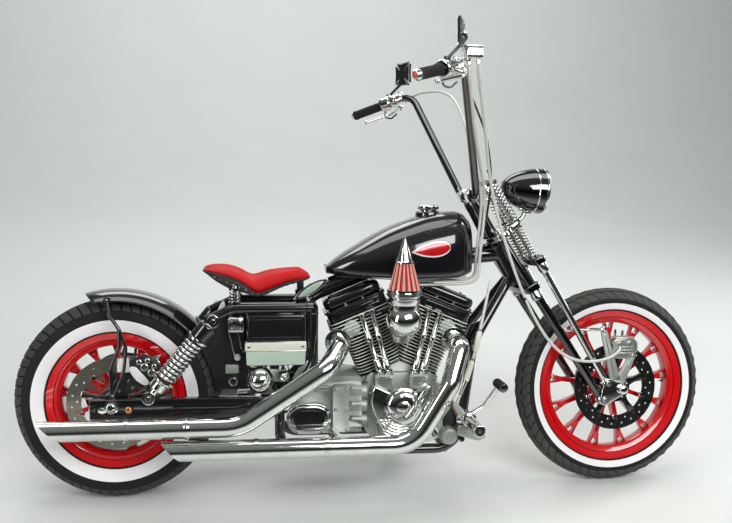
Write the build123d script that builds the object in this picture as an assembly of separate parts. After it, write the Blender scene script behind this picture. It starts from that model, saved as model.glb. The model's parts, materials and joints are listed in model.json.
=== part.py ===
from build123d import *
import math
import os

os.makedirs("parts", exist_ok=True)

# A chopper motorcycle with a springer fork, in millimetres.
# It is drawn upright: X forward, Y to the rider's left, Z up, origin on the ground under the rear axle.
# At the end it is leaned onto its side stand and moved so that its box stands on the origin.
# Bars, rings and tubes that nothing turns on are drawn with flat facets, which keeps the model light.
# Bearings, axles and the foot pegs are truly round.

# Driving dimensions
WHEELBASE = 1648
REAR_TYRE_R = 323
FRONT_TYRE_R = 331
REAR_RIM_R = 217
FRONT_RIM_R = 256
REAR_TYRE_HALF = 76
FRONT_TYRE_HALF = 49
REAR_RIM_HALF = 60
FRONT_RIM_HALF = 38
RIM_DEPTH = 44
SPOKES = 13
WHEEL_SIDES = 28
DISC_R = 146
DISC_HOLES = 8
RAKE = 30.1
AXLE_OFFSET = 110
REAR_AXLE_R = 11
FRONT_AXLE_R = 10
BEARING_GAP = 0.05
STEER_REST = 4
LEAN = 10

# Steering axis, through the point level with the front axle
U = Vector(-math.sin(math.radians(RAKE)), 0, math.cos(math.radians(RAKE)))
F = Vector(math.cos(math.radians(RAKE)), 0, math.sin(math.radians(RAKE)))
FRONT_AXLE = Vector(WHEELBASE, 0, FRONT_TYRE_R)
STEER_BASE = FRONT_AXLE - F * AXLE_OFFSET
FORK = Location(Plane(origin=STEER_BASE, x_dir=F, z_dir=U))
REAR_AXLE = Vector(0, 0, REAR_TYRE_R)

# Engine
CRANK = Vector(908, 0, 275)
V_HALF = 22.5
FIN_SIZE = 150
HEAD_SIZE = (216, 164)
FIN_T = 4
CYLINDER_FINS = 7
CYLINDER_FIN_PITCH = 20
HEAD_FINS = 4
HEAD_FIN_PITCH = 16
DECK = 150

# Tubes and facets
BAR_R = 12.7
FRAME_R = 16
PIPE_R = 31
PIPE_SIDES = 10
BAR_SIDES = 8
CABLE_R = 4
CABLE_SIDES = 4
SIDES = 8
SMALL_SIDES = 6
FIT_GAP = 0.2

# Belt drive
PULLEY_R = 120
FRONT_PULLEY_R = 56
FRONT_PULLEY = Vector(640, 0, 300)
BELT_T = 5
BELT_Y = (82, 106)


def faceted(rings, closed=False):
    """Solid whose flat facets join rings of points, each to the next; open ends get a flat cap."""
    faces = []
    for ring, following in zip(rings, rings[1:] + rings[:1] if closed else rings[1:]):
        for number in range(len(ring)):
            after = (number + 1) % len(ring)
            corners = [ring[number], ring[after], following[after], following[number]]
            faces.append(Face(Wire.make_polygon(corners)))
    if not closed:
        faces += [Face(Wire.make_polygon(rings[0])), Face(Wire.make_polygon(rings[-1]))]
    return Solid(Shell(faces))


def as_vector(point):
    return Vector(*point) if isinstance(point, tuple) else point


def ring_round(centre, along, radius, sides):
    """Points of a regular polygon about a line."""
    guide = Vector(0, 1, 0) if abs(along.Y) < 0.9 else Vector(1, 0, 0)
    across = (guide - along * guide.dot(along)).normalized()
    upward = along.cross(across)
    angles = [2 * math.pi * number / sides for number in range(sides)]
    return [centre + (across * math.cos(angle) + upward * math.sin(angle)) * radius for angle in angles]


def eased_route(points, bends, step=30):
    """The route's points with each corner replaced by points on its arc, one for each step of degrees."""
    points = [as_vector(point) for point in points]
    route = [points[0]]
    for before, corner, after, bend in zip(points, points[1:], points[2:], bends):
        back = (corner - before).normalized()
        ahead = (after - corner).normalized()
        turn = math.radians(back.get_angle(ahead))
        start = corner - back * bend * math.tan(turn / 2)
        inward = (ahead - back * back.dot(ahead)).normalized()
        count = max(1, round(math.degrees(turn) / step))
        for number in range(count + 1):
            angle = turn * number / count
            route.append(start + back * bend * math.sin(angle) + inward * bend * (1 - math.cos(angle)))
    return route + [points[-1]]


def tube(points, radius, bends=(), sides=SIDES, step=30):
    """Bar along straight runs and arcs, mitred at each small turn of its arcs."""
    route = eased_route(points, bends, step)
    heading = (route[1] - route[0]).normalized()
    rings = [ring_round(route[0], heading, radius, sides)]
    for number in range(1, len(route)):
        heading = (route[number] - route[number - 1]).normalized()
        mitre = heading
        if number + 1 < len(route):
            mitre = (heading + (route[number + 1] - route[number]).normalized()).normalized()
        share = heading.dot(mitre)
        rings.append([point + heading * ((route[number] - point).dot(mitre) / share) for point in rings[-1]])
    return faceted(rings)


def rod(start, end, radius, end_radius=None, sides=SIDES):
    """Straight faceted bar or cone from one point to another."""
    start, end = as_vector(start), as_vector(end)
    along = (end - start).normalized()
    end_radius = radius if end_radius is None else end_radius
    return faceted([ring_round(start, along, radius, sides), ring_round(end, along, end_radius, sides)])


def room_for(radius, sides=SIDES):
    """Radius of the polygon that a round bar of this radius just fits in, with a fit's gap."""
    return (radius + FIT_GAP) / math.cos(math.pi / sides)


def shaft(start, end, radius):
    """Truly round bar, for what turns or slides on it."""
    start, end = as_vector(start), as_vector(end)
    base = (Align.CENTER, Align.CENTER, Align.MIN)
    return Location(Plane(origin=start, z_dir=end - start)) * Cylinder(radius, (end - start).length, align=base)


def block(x, y, z):
    """Box between pairs of low and high coordinates."""
    size = [high - low for low, high in (x, y, z)]
    centre = [(low + high) / 2 for low, high in (x, y, z)]
    return Pos(*centre) * Box(*size)


def slab(face, y_low, y_high):
    """A flat outline drawn in X and Z, as thick as the span in Y."""
    return extrude(Plane.XZ.offset(-y_high) * face, amount=y_high - y_low)


def outline(points, corner=0):
    """Closed flat outline with every corner cut off alike."""
    face = make_face(Polyline(*points, close=True))
    return chamfer(face.vertices(), corner) if corner else face


def polygon(x, z, radius, sides=16):
    """Regular outline in X and Z whose flats are at the radius."""
    return Pos(x, z) * RegularPolygon(radius, sides, major_radius=False)


def hull(*circles):
    """Outline drawn tightly round several polygons."""
    edges = []
    for circle in circles:
        edges += circle.edges()
    return make_hull(edges)


def both_sides(shape):
    """The shape and its mirror image on the other side of the motorcycle."""
    return shape + mirror(shape, about=Plane.XZ)


def fused(shapes):
    whole = shapes[0]
    for shape in shapes[1:]:
        whole = whole + shape
    return whole


def turned(profile, centre, sides):
    """Faceted ring about an axle along Y; the profile holds (radius, y) points."""
    rings = []
    for number in range(sides):
        angle = 2 * math.pi * number / sides
        rings.append([centre + Vector(r * math.sin(angle), y, -r * math.cos(angle)) for r, y in profile])
    return faceted(rings, closed=True)


def spring(start, end, radius, wire, turns, core=0, sides=SMALL_SIDES):
    """Coil spring with closed turns, drawn as ridges on one sleeve, with room for a bar along its middle."""
    start, end = as_vector(start), as_vector(end)
    run = end - start
    along = run.normalized()
    rings = []
    for turn in range(turns):
        for share, reach in ((0, radius - wire * 0.7), (0.5, radius)):
            rings.append(ring_round(start + run * ((turn + share) / turns), along, reach, sides))
    rings.append(ring_round(end, along, radius - wire * 0.7, sides))
    coil = faceted(rings)
    return coil - rod(start - along, end + along, room_for(core, 6), sides=6) if core else coil


def on_engine(angle):
    """Frame of one cylinder: Z along its bore, from the crank's centre, X across it."""
    return Location(tuple(CRANK), (0, angle, 0))


def cut_plate(size_x, size_y, thickness, corner, z):
    """Plate with its four corners cut off, lying at the height z."""
    face = chamfer(Rectangle(size_x, size_y).vertices(), corner)
    return Pos(0, 0, z) * extrude(face, amount=thickness)


# Frame

NECK_LOW, NECK_HIGH, NECK_R, STEM_R = 470, 636, 30, 14


def fork_point(f, s, y=0):
    """Point of the fork: f ahead of the steering axis, s up along it, y to the left."""
    return STEER_BASE + F * f + U * s + Vector(0, y, 0)


RAIL_Y = 126
RAIL_Z = 158
UPRIGHT_X = 516
SEAT_X = 622
SEAT_RAIL_Z = 622
BACKBONE_R = 28
BACKBONE = [(860, 0, 750), (640, 0, 661), (612, 0, 644)]
SHOCK_TOP = Vector(312, 0, 590)
SHOCK_BOTTOM = Vector(115, 0, 355)
SHOCK_Y = 170
SHOCK_EYE_HALF = 15
SHOCK_ROD_R = 12
ARM_PIVOT = (478, 318)
PIVOT_R = 12
ARM_Y = (118, 150)

# Side stand: its hinge, its foot on the ground and the way its leg points when folded
STAND_PIVOT = Vector(880, 172, 150)
STAND_FOOT_X, STAND_FOOT_Y, STAND_FOOT_H = 950, 304, 16
STAND_FOLDED = Vector(-0.914, 0.402, -0.06)
REAR_CROWN = 80


def ground_z(y):
    """Height of the leaned motorcycle's ground at the side distance y."""
    slope = math.radians(LEAN)
    drop = REAR_CROWN * (1 - math.cos(slope))
    return (y * math.sin(slope) - drop) / math.cos(slope)


STAND_FOOT = Vector(STAND_FOOT_X, STAND_FOOT_Y, ground_z(STAND_FOOT_Y) + STAND_FOOT_H)
STAND_AXIS = (STAND_FOOT - STAND_PIVOT).cross(STAND_FOLDED).normalized()
STAND_INWARD = Vector(0, -1, 0) + STAND_AXIS * STAND_AXIS.Y
STAND_PLACE = Location(Plane(origin=STAND_PIVOT, x_dir=STAND_INWARD, z_dir=STAND_AXIS))
KNUCKLE_HALF = 14
KNUCKLE_R = 17
EAR_GAP = 1
EAR_T = 6


def stand_clevis():
    """Two ears with the stand's pin between them, and the web that joins them to the rail."""
    high = KNUCKLE_HALF + EAR_GAP
    ears = [Pos(12, 0, side * (high + EAR_T / 2)) * Box(56, 30, EAR_T) for side in (-1, 1)]
    web = Pos(31, 0, 0) * Box(18, 30, 2 * (high + EAR_T))
    pin = Cylinder(6, 2 * high + EAR_T)
    return STAND_PLACE * (ears[0] + ears[1] + web + pin)


def build_frame():
    neck = rod(fork_point(0, NECK_LOW), fork_point(0, NECK_HIGH), NECK_R, sides=12)
    backbone = tube([fork_point(-20, 590)] + BACKBONE, BACKBONE_R, [300, 60])
    cross = rod((SEAT_X, -RAIL_Y, SEAT_RAIL_Z), (SEAT_X, RAIL_Y, SEAT_RAIL_Z), FRAME_R)
    tail = rod((335, -RAIL_Y, 606), (335, RAIL_Y, 606), FRAME_R - 2, sides=SMALL_SIDES)
    parts = [neck, backbone, cross, tail]
    for side in (-1, 1):
        y = RAIL_Y * side
        parts.append(tube(
            [fork_point(-8, 504, 12 * side), (1150, 88 * side, 500), (1092, y, RAIL_Z), (UPRIGHT_X, y, RAIL_Z),
             (UPRIGHT_X, y, 310), (586, y, 385), (SEAT_X, y, 440), (SEAT_X, y, SEAT_RAIL_Z)],
            FRAME_R, [200, 90, 70, 60, 60, 60], step=40))
        parts.append(tube([(SEAT_X, y, SEAT_RAIL_Z), (370, y, SEAT_RAIL_Z), (290, y, 585)], FRAME_R, [60]))
        shock_inner = (SHOCK_Y - SHOCK_EYE_HALF - FIT_GAP) * side
        parts.append(rod((SHOCK_TOP.X, y, SHOCK_TOP.Z), (SHOCK_TOP.X, shock_inner, SHOCK_TOP.Z), 14,
                         sides=SMALL_SIDES))
    pivot_x, pivot_z = ARM_PIVOT
    plate = block((pivot_x - 22, UPRIGHT_X), (-117.8, -110), (pivot_z - 30, pivot_z + 30))
    pivot_hole = rod((pivot_x, -130, pivot_z), (pivot_x, -100, pivot_z), room_for(PIVOT_R))
    parts.append(both_sides(plate - pivot_hole))
    for x in (700, 1050):
        parts.append(rod((x, -RAIL_Y, RAIL_Z), (x, RAIL_Y, RAIL_Z), FRAME_R - 3, sides=SMALL_SIDES))
    parts.append(stand_clevis())
    parts.append(block((570, 604), (-18, 18), (622, 668)))
    return fused(parts) - FORK * Cylinder(STEM_R + BEARING_GAP, 2000)


# Swingarm and rear suspension


def build_swingarm():
    inner, outer = ARM_Y
    side = outline([(-67, 283), (-67, 346), (300, 346), (470, 342), (498, 330), (498, 306), (470, 294),
                    (300, 283)], 3)
    rails = both_sides(slab(side, -outer, -inner))
    bridge = block((380, 440), (-inner - 1, inner + 1), (292, 342))
    pivot_x, pivot_z = ARM_PIVOT
    pivot_bolts = both_sides(rod((pivot_x, -158, pivot_z), (pivot_x, -104, pivot_z), PIVOT_R))
    post_y = SHOCK_Y - SHOCK_EYE_HALF - FIT_GAP
    post = outline([(88, 330), (142, 330), (130, 372), (100, 372)])
    eye_posts = both_sides(slab(post, -post_y, -outer + 1))
    axle_bore = rod((0, -200, REAR_TYRE_R), (0, 200, REAR_TYRE_R), room_for(REAR_AXLE_R, 12), sides=12)
    return rails + bridge + pivot_bolts + eye_posts - axle_bore


def shock_point(share, y):
    return SHOCK_BOTTOM + (SHOCK_TOP - SHOCK_BOTTOM) * share + Vector(0, y, 0)


def build_shocks():
    # Each row: start and end of a length of the shock, as shares of it, and its radius
    lengths = [(0.03, 0.97, SHOCK_ROD_R), (0.76, 0.93, 30), (0.12, 0.24, 26)]
    shocks = []
    for y in (-SHOCK_Y, SHOCK_Y):
        for share in (0, 1):
            eye = shock_point(share, y)
            half = Vector(0, SHOCK_EYE_HALF, 0)
            shocks.append(rod(eye - half, eye + half, 20))
        shocks += [rod(shock_point(low, y), shock_point(high, y), radius) for low, high, radius in lengths]
    return fused(shocks)


def build_shock_springs():
    ends = [(shock_point(0.245, y), shock_point(0.755, y)) for y in (-SHOCK_Y, SHOCK_Y)]
    return fused([spring(low, high, 33, 9, 7, SHOCK_ROD_R) for low, high in ends])


# Wheels


def build_wheel(rim_r, half, centre, hub_r, hub_half, axle_r):
    """Cast wheel: rim with two flanges, a hub and straight spokes flared where they meet the rim."""
    well = rim_r - RIM_DEPTH
    one_side = [(well, half - 12), (rim_r - 22, half - 2), (rim_r, half), (well + 8, half - 28)]
    profile = one_side + [(r, -y) for r, y in reversed(one_side)]
    rim = turned(profile, centre, WHEEL_SIDES)
    hub = turned([(hub_r * 0.5, -hub_half), (hub_r * 0.62, -hub_half), (hub_r, -hub_half * 0.45),
                  (hub_r, hub_half * 0.45), (hub_r * 0.62, hub_half), (hub_r * 0.5, hub_half)], centre, 10)
    core = shaft(centre - Vector(0, hub_half, 0), centre + Vector(0, hub_half, 0), hub_r * 0.56)
    bore = shaft(centre - Vector(0, hub_half, 0), centre + Vector(0, hub_half, 0), axle_r + BEARING_GAP)
    start, flare, end = hub_r - 6, well - 18, well + 4
    spoke = outline([(-8, start), (-7, flare), (-13, end), (13, end), (7, flare), (8, start)])
    spoke = slab(spoke, -12, 12)
    spokes = [Pos(*centre) * Rot(0, number * 360 / SPOKES, 0) * spoke for number in range(SPOKES)]
    return fused([rim + hub + core] + spokes) - bore


def build_tyre(tyre_r, rim_r, half, rim_half, centre):
    seat_r, seat_half = rim_r - 17.5, rim_half - 14
    one_side = [(seat_r, seat_half), (rim_r + 0.5, rim_half), ((rim_r + tyre_r) / 2, half),
                (tyre_r - 20, half * 0.8), (tyre_r - 5, half * 0.42)]
    return turned(one_side + [(tyre_r, 0)] + [(r, -y) for r, y in reversed(one_side)], centre, WHEEL_SIDES)


def build_disc(centre, y, radius, hub_half):
    """Brake disc with a ring of holes and five windows, on a boss that reaches the hub."""
    face = RegularPolygon(radius, 26) - RegularPolygon(30, 10)
    face -= PolarLocations(radius - 17, DISC_HOLES) * RegularPolygon(5.5, 5)
    face -= PolarLocations(70, 5) * RegularPolygon(19, 5)
    disc = Pos(centre.X, 0, centre.Z) * slab(face, y - 3, y + 3)
    boss_end = -hub_half - FIT_GAP
    boss = turned([(30, y), (46, y), (46, boss_end), (30, boss_end)], centre, 10)
    return disc + boss


# Engine


def on_both_cylinders(shape):
    return fused([on_engine(angle) * shape for angle in (-V_HALF, V_HALF)])


def build_cylinders():
    barrel = Pos(0, 0, DECK) * extrude(RegularPolygon(58, 8), amount=135)
    fins = [cut_plate(FIN_SIZE, FIN_SIZE, FIN_T, 34, DECK + number * CYLINDER_FIN_PITCH)
            for number in range(CYLINDER_FINS)]
    split = block((CRANK.X - 1.5, CRANK.X + 1.5), (-100, 100), (300, 800))
    return on_both_cylinders(fused([barrel] + fins)) - split


HEAD_Z = DECK + 135.2


def build_heads():
    core = cut_plate(HEAD_SIZE[0] - 44, HEAD_SIZE[1] - 40, 60, 20, HEAD_Z)
    fins = [cut_plate(HEAD_SIZE[0], HEAD_SIZE[1], FIN_T, 16, HEAD_Z + 3 + number * HEAD_FIN_PITCH)
            for number in range(HEAD_FINS)]
    return on_both_cylinders(fused([core] + fins))


def build_rocker_boxes():
    low = cut_plate(204, 150, 34, 18, HEAD_Z + 61.3)
    middle = cut_plate(212, 158, 8, 20, HEAD_Z + 94.8)
    top = cut_plate(196, 142, 38, 20, HEAD_Z + 102.8)
    top = chamfer(top.faces().sort_by(Axis.Z)[-1].edges(), 12)
    return on_both_cylinders(low + middle + top)


def build_pushrods():
    # Each row: angle of its cylinder, place across the cylinder, its foot's X
    rows = [(-V_HALF, 4, 838), (-V_HALF, 40, 866), (V_HALF, -40, 950), (V_HALF, -4, 978)]
    # Each row: start and end of a length of the tube, as shares of it, and its radius
    lengths = [(0, 1, 8.5), (0, 0.22, 12), (0.55, 0.62, 12)]
    tubes = []
    for angle, across, foot_x in rows:
        head = Vector(*(on_engine(angle) * Pos(across, -92, HEAD_Z + 60)).position)
        foot = Vector(foot_x, -112, 409)
        run = head - foot
        tubes.append(fused([rod(foot + run * low, foot + run * high, radius, sides=SMALL_SIDES)
                            for low, high, radius in lengths]))
    return fused(tubes)


def tappet_blocks(grow=0):
    """Blocks at the feet of the pushrod tubes."""
    blocks = [block((x - 31 - grow, x + 31 + grow), (-130 - grow, -90), (356 - grow, 404))
              for x in (852, 964)]
    return blocks[0] + blocks[1]


def build_crankcase():
    case = slab(outline(
        [(800, 404), (1016, 404), (1034, 330), (1022, 232), (962, 168), (852, 168), (790, 212), (783, 330)],
        12), -96, 96)
    deck = Pos(0, 0, (DECK - FIT_GAP + 64) / 2) * Box(152, 148, DECK - FIT_GAP - 64)
    for side in (-1, 1):
        place = on_engine(side * V_HALF)
        case -= place * Pos(0, 0, DECK + 99.8) * Box(160, 160, 200)
        near = block((CRANK.X + min(0, side * 300), CRANK.X + max(0, side * 300)), (-100, 100), (250, 500))
        case += place * deck & near
    return case + tappet_blocks()


def build_cam_cover():
    chest = slab(outline(
        [(812, 380), (880, 344), (936, 344), (1004, 380), (1010, 300), (960, 204), (856, 204), (806, 300)],
        10), -148, -96.2)
    cap = rod((908, -147, 306), (908, -166, 306), 56, sides=16)
    rim = rod((908, -166, 306), (908, -172, 306), 50, 44, sides=16)
    return chest + cap + rim - tappet_blocks(0.3)


def build_gearbox():
    case = slab(outline(
        [(560, 236), (560, 350), (590, 398), (779, 398), (779, 214), (600, 214)], 9), -108, 74)
    ribs = [rod((738, -106, z), (778, -106, z), 24, sides=8) for z in (238, 288, 338)]
    plate = slab(outline([(684, 225), (684, 372), (736, 372), (736, 225)], 6), -146, -107)
    return fused([case, plate] + ribs)


def build_release_cover():
    face = hull(polygon(-22, 0, 49, 12), polygon(22, 0, 49, 12))
    cover = slab(face, -150, -108.2)
    cover = chamfer(cover.faces().sort_by(Axis.Y)[0].edges(), 7)
    return Pos(608, 0, 269) * cover


STARTER = Vector(455, 0, 395)


def build_starter():
    motor = rod(STARTER + Vector(0, -128, 0), STARTER + Vector(0, 60, 0), 43, sides=12)
    dome_rings = []
    for share in (0, 0.3, 0.6, 0.85):
        reach = 43 * share
        centre = STARTER - Vector(0, 128 + reach, 0)
        dome_rings.append(ring_round(centre, Vector(0, -1, 0), math.sqrt(43 ** 2 - reach ** 2), 12))
    boss = rod((529, -146, 411), (529, 60, 411), 20)
    web = block((455, 545), (-104, 50), (384, 424))
    return fused([motor, faceted(dome_rings), boss, web])


PRIMARY_FRONT_R, PRIMARY_REAR_R, PRIMARY_REAR = 80, 112, Vector(664, 0, 292)


def build_primary():
    def shell(inset, y_low, y_high):
        rear = polygon(PRIMARY_REAR.X, PRIMARY_REAR.Z, PRIMARY_REAR_R - inset, 16)
        front = polygon(CRANK.X, CRANK.Z, PRIMARY_FRONT_R - inset, 16)
        return slab(hull(rear, front), y_low, y_high)

    clutch = rod((PRIMARY_REAR.X, 200, PRIMARY_REAR.Z), (PRIMARY_REAR.X, 209, PRIMARY_REAR.Z), 74, sides=16)
    alternator = rod((CRANK.X, 96.2, CRANK.Z), (CRANK.X, 144, CRANK.Z), 66, sides=12)
    return shell(0, 144, 190) + shell(12, 190, 200) + clutch + alternator


def build_belt():
    def loop(grow, y_low, y_high):
        rear = polygon(REAR_AXLE.X, REAR_AXLE.Z, PULLEY_R + grow + 0.6, 20)
        front = polygon(FRONT_PULLEY.X, FRONT_PULLEY.Z, FRONT_PULLEY_R + grow, 12)
        return slab(hull(rear, front), y_low, y_high)

    return loop(BELT_T, *BELT_Y) - loop(0, BELT_Y[0] - 1, BELT_Y[1] + 1)


def build_pulley():
    low, high = BELT_Y[0] + FIT_GAP, BELT_Y[1] + 2
    disc = turned([(30, low), (PULLEY_R - 1, low), (PULLEY_R - 1, high), (PULLEY_R - 12, high),
                   (PULLEY_R - 12, low + 10), (30, low + 10)], REAR_AXLE, 20)
    window = slab(polygon(0, 74, 20, 6), low - 5, low + 15)
    return disc - fused([Pos(*REAR_AXLE) * Rot(0, number * 72, 0) * window for number in range(5)])


def build_front_pulley():
    return rod((FRONT_PULLEY.X, 74.2, FRONT_PULLEY.Z), (FRONT_PULLEY.X, BELT_Y[1] + 2, FRONT_PULLEY.Z),
               FRONT_PULLEY_R - 0.1, sides=12)


# Intake

CONE = Vector(901, -200, 0)
PLEATS = 14


def build_intake():
    manifold = rod((CRANK.X, -83, 560), (CRANK.X, -104, 560), 34, sides=12)
    carburettor = block((872, 944), (-150, -96), (520, 618))
    carburettor = chamfer(carburettor.edges(), 6)
    elbow = tube([(CONE.X, -140, 586), (CONE.X, CONE.Y, 594), (CONE.X, CONE.Y, 664)], 48, [44], 12, 30)
    collar = rod((CONE.X, CONE.Y, 640), (CONE.X, CONE.Y, 664), 48, 58, sides=16)
    throat = rod((CONE.X, CONE.Y, 664), (CONE.X, CONE.Y, 688), 62, sides=16)
    return fused([manifold, carburettor, elbow, collar, throat])


def build_air_cleaner():
    """Pleated cone with a spike on top."""
    rings = []
    for z, radius in ((688.2, 60), (770, 44)):
        folds = []
        for number in range(2 * PLEATS):
            angle = math.pi * number / PLEATS
            reach = radius - (5 if number % 2 else 0)
            folds.append(Vector(CONE.X + reach * math.cos(angle), CONE.Y + reach * math.sin(angle), z))
        rings.append(folds)
    spike = rod((CONE.X, CONE.Y, 770), (CONE.X, CONE.Y, 853), 43, 3, sides=16)
    return tapered_pleats(rings) + spike


def tapered_pleats(rings):
    """Folded wall between two star-shaped rings, drawn as triangles because its folds twist."""
    low, high = rings
    faces = [Face(Wire.make_polygon(low)), Face(Wire.make_polygon(high))]
    for number in range(len(low)):
        after = (number + 1) % len(low)
        faces.append(Face(Wire.make_polygon([low[number], low[after], high[number]])))
        faces.append(Face(Wire.make_polygon([low[after], high[after], high[number]])))
    return Solid(Shell(faces))


# Exhaust


def exhaust(points, bends, tail_top, tail_bottom, seam_x):
    """One pipe and its silencer: the tail is cut on a slant and open, a raised band marks the seam."""
    pipe = tube(points, PIPE_R, bends, PIPE_SIDES, 30)
    y, z = points[0][1], points[0][2]
    cutter = slab(outline([(tail_top - 60, z + 60), (tail_top - 16, z + 60), (tail_bottom + 16, z - 60),
                           (tail_top - 60, z - 60)]), y - 60, y + 60)
    bore = rod((tail_top - 40, y, z), (tail_bottom + 90, y, z), PIPE_R - 4, sides=PIPE_SIDES)
    band = rod((seam_x - 7, y, z), (seam_x + 7, y, z), PIPE_R + 2.5, sides=PIPE_SIDES)
    return pipe + band - cutter - bore


def build_upper_exhaust():
    z = 272
    return exhaust([(-215, -228, z), (392, -228, z), (662, -222, 462), (704, -150, 524), (704, -82.3, 524)],
                   [150, 60, 30], -208, -134, 233)


def build_lower_exhaust():
    z = 202
    return exhaust([(150, -228, z), (930, -228, z), (1050, -222, 400), (1094, -180, 530), (1094, -82.3, 530)],
                   [120, 60, 36], 155, 215, 658)


# Body


def tank_section(x, half, low, high, shoulder):
    """Section across the tank: flat bottom, upright sides to the shoulder, then five flats over the top."""
    side = low + (high - low) * shoulder
    height = high - side
    right = [(half - 14, low), (half, low + 12), (half, side), (half * 0.88, side + height * 0.5),
             (half * 0.58, side + height * 0.86), (half * 0.2, high)]
    return [Vector(x, y, z) for y, z in right + [(-y, z) for y, z in reversed(right)]]


def ruled_skin(rings):
    """Solid whose triangles join rings of points, each to the next, with a flat cap at both ends."""
    faces = [Face(Wire.make_polygon(rings[0])), Face(Wire.make_polygon(rings[-1]))]
    for ring, following in zip(rings, rings[1:]):
        for number in range(len(ring)):
            after = (number + 1) % len(ring)
            faces.append(Face(Wire.make_polygon([ring[number], ring[after], following[number]])))
            faces.append(Face(Wire.make_polygon([ring[after], following[after], following[number]])))
    return Solid(Shell(faces))


FILLER_X, FILLER_R = 1011, 30


def build_tank():
    # Each row: X, half width, bottom Z, top Z, share of the height where the shoulder starts
    rows = [(672, 46, 722, 747, 0.5), (705, 68, 718, 774, 0.44), (760, 94, 715, 810, 0.4),
            (850, 120, 712, 862, 0.38), (930, 131, 710, 895, 0.38), (1000, 133, 710, 917, 0.4),
            (1075, 125, 713, 926, 0.42), (1118, 104, 717, 920, 0.46), (1142, 76, 722, 896, 0.5)]
    tank = ruled_skin([tank_section(*row) for row in rows])
    reach = BACKBONE_R + 5
    tunnel = outline([(1240, 776 + reach), (860, 750 + reach), (640, 661 + reach), (600, 620), (1240, 620)])
    tunnel = slab(tunnel, -reach, reach)
    filler = rod((FILLER_X, 0, 905), (FILLER_X, 0, 960), room_for(FILLER_R, 16), sides=16)
    return tank - tunnel - filler


def build_fuel_cap():
    cap = rod((FILLER_X, 0, 905.2), (FILLER_X, 0, 934), FILLER_R, sides=16)
    return cap + rod((FILLER_X, 0, 934), (FILLER_X, 0, 946), 36, 32, sides=16)


SEAT_PLAN = [(270, 92), (300, 120), (400, 126), (480, 110), (560, 74), (625, 58)]


def seat_body(side, inset, drop=0):
    """A side outline as wide as the seat's plan, less an inset."""
    half = [(x + inset * 0.6, y - inset) for x, y in SEAT_PLAN]
    plan = make_face(Polyline(*half, *[(x, -y) for x, y in reversed(half)], close=True))
    return Pos(0, 0, -drop) * slab(outline(side), -140, 140) & Pos(0, 0, 600) * extrude(plan, amount=250)


def build_seat():
    return seat_body([(274, 744), (348, 748), (392, 736), (424, 716), (460, 726), (530, 736), (598, 738),
                      (622, 716), (594, 706), (528, 696), (462, 682), (424, 684), (392, 706), (352, 724),
                      (276, 728)], 0)


def build_seat_pan():
    pan = seat_body([(281, 727.8), (352, 723.8), (392, 705.8), (424, 683.8), (462, 681.8), (528, 695.8),
                     (594, 705.8), (618, 713), (596, 700), (528, 686), (467, 664), (439, 661), (388, 690),
                     (356, 702), (300, 718)], 6, 0.4)
    return pan + block((576, 598), (-16, 16), (668.2, 698))


def build_seat_springs():
    return fused([spring((377, y, 638.2), (377, y, 684), 20, 6, 4) for y in (-116, 116)])


FENDER_START, FENDER_END = 30, 104
FENDER_R = 355
FENDER_STEPS = 8


def build_fender():
    wall = 3
    outer = [(FENDER_R - 24, -88), (FENDER_R - 9, -80), (FENDER_R, -52), (FENDER_R, 52), (FENDER_R - 9, 80),
             (FENDER_R - 24, 88)]
    profile = outer + [(r - wall, y * 0.965) for r, y in reversed(outer)]
    rings = []
    for number in range(FENDER_STEPS + 1):
        angle = math.radians(FENDER_START + (FENDER_END - FENDER_START) * number / FENDER_STEPS)
        rings.append([REAR_AXLE + Vector(r * math.cos(angle), y, r * math.sin(angle)) for r, y in profile])
    strut = both_sides(tube([(-8, -84, 648), (-5, -124, 600), (0, -134, 346.4)], 6, [40], SMALL_SIDES))
    return faceted(rings) + strut


# Battery box and its neighbours


def build_battery_box():
    box = block((412, 597), (-138, 104), (441, 604))
    box = chamfer(box.edges().filter_by(Axis.Y), 6)
    band = block((408, 600), (-142, -100), (490, 516))
    return box + band


def build_relay_box():
    box = block((356, 405), (-150, -100), (550, 596))
    return chamfer(box.edges(), 4)


def build_side_leaf():
    place = Plane(origin=(618, -62, 676), x_dir=(0.85, 0, 0.53), z_dir=(0, -1, 0))
    leaf = outline([(-66, 0), (-36, -14), (0, -17), (36, -14), (66, 0), (36, 14), (0, 17), (-36, 14)])
    return Location(place) * extrude(leaf, amount=14)


# Fork

LEG_Y = 94
SPRING_Y = 42
SPRING_F = 78
CROWN_LOW, CROWN_T = 441, 24
CLAMP_LOW, CLAMP_T = 642, 19
YOKE_LOW, YOKE_T = 506, 24
GUIDE_R = 7
SLANT_GAP = 1


def build_top_clamp():
    face = outline([(-34, -60), (-10, -112), (24, -112), (52, -70), (96, -64), (96, 64), (52, 70),
                    (24, 112), (-10, 112), (-34, 60)], 6)
    clamp = Pos(0, 0, CLAMP_LOW) * extrude(face, amount=CLAMP_T)
    for y in (-SPRING_Y, SPRING_Y):
        hole = RegularPolygon(room_for(GUIDE_R, 6) + 1, 6)
        clamp -= Pos(SPRING_F, y, CLAMP_LOW - 5) * extrude(hole, amount=CLAMP_T + 10)
    nut = Pos(0, 0, CLAMP_LOW + CLAMP_T) * extrude(RegularPolygon(22, 6), amount=16)
    return FORK * (clamp + nut - Pos(0, 0, 640) * Cylinder(STEM_R + 0.1, 54))


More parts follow.
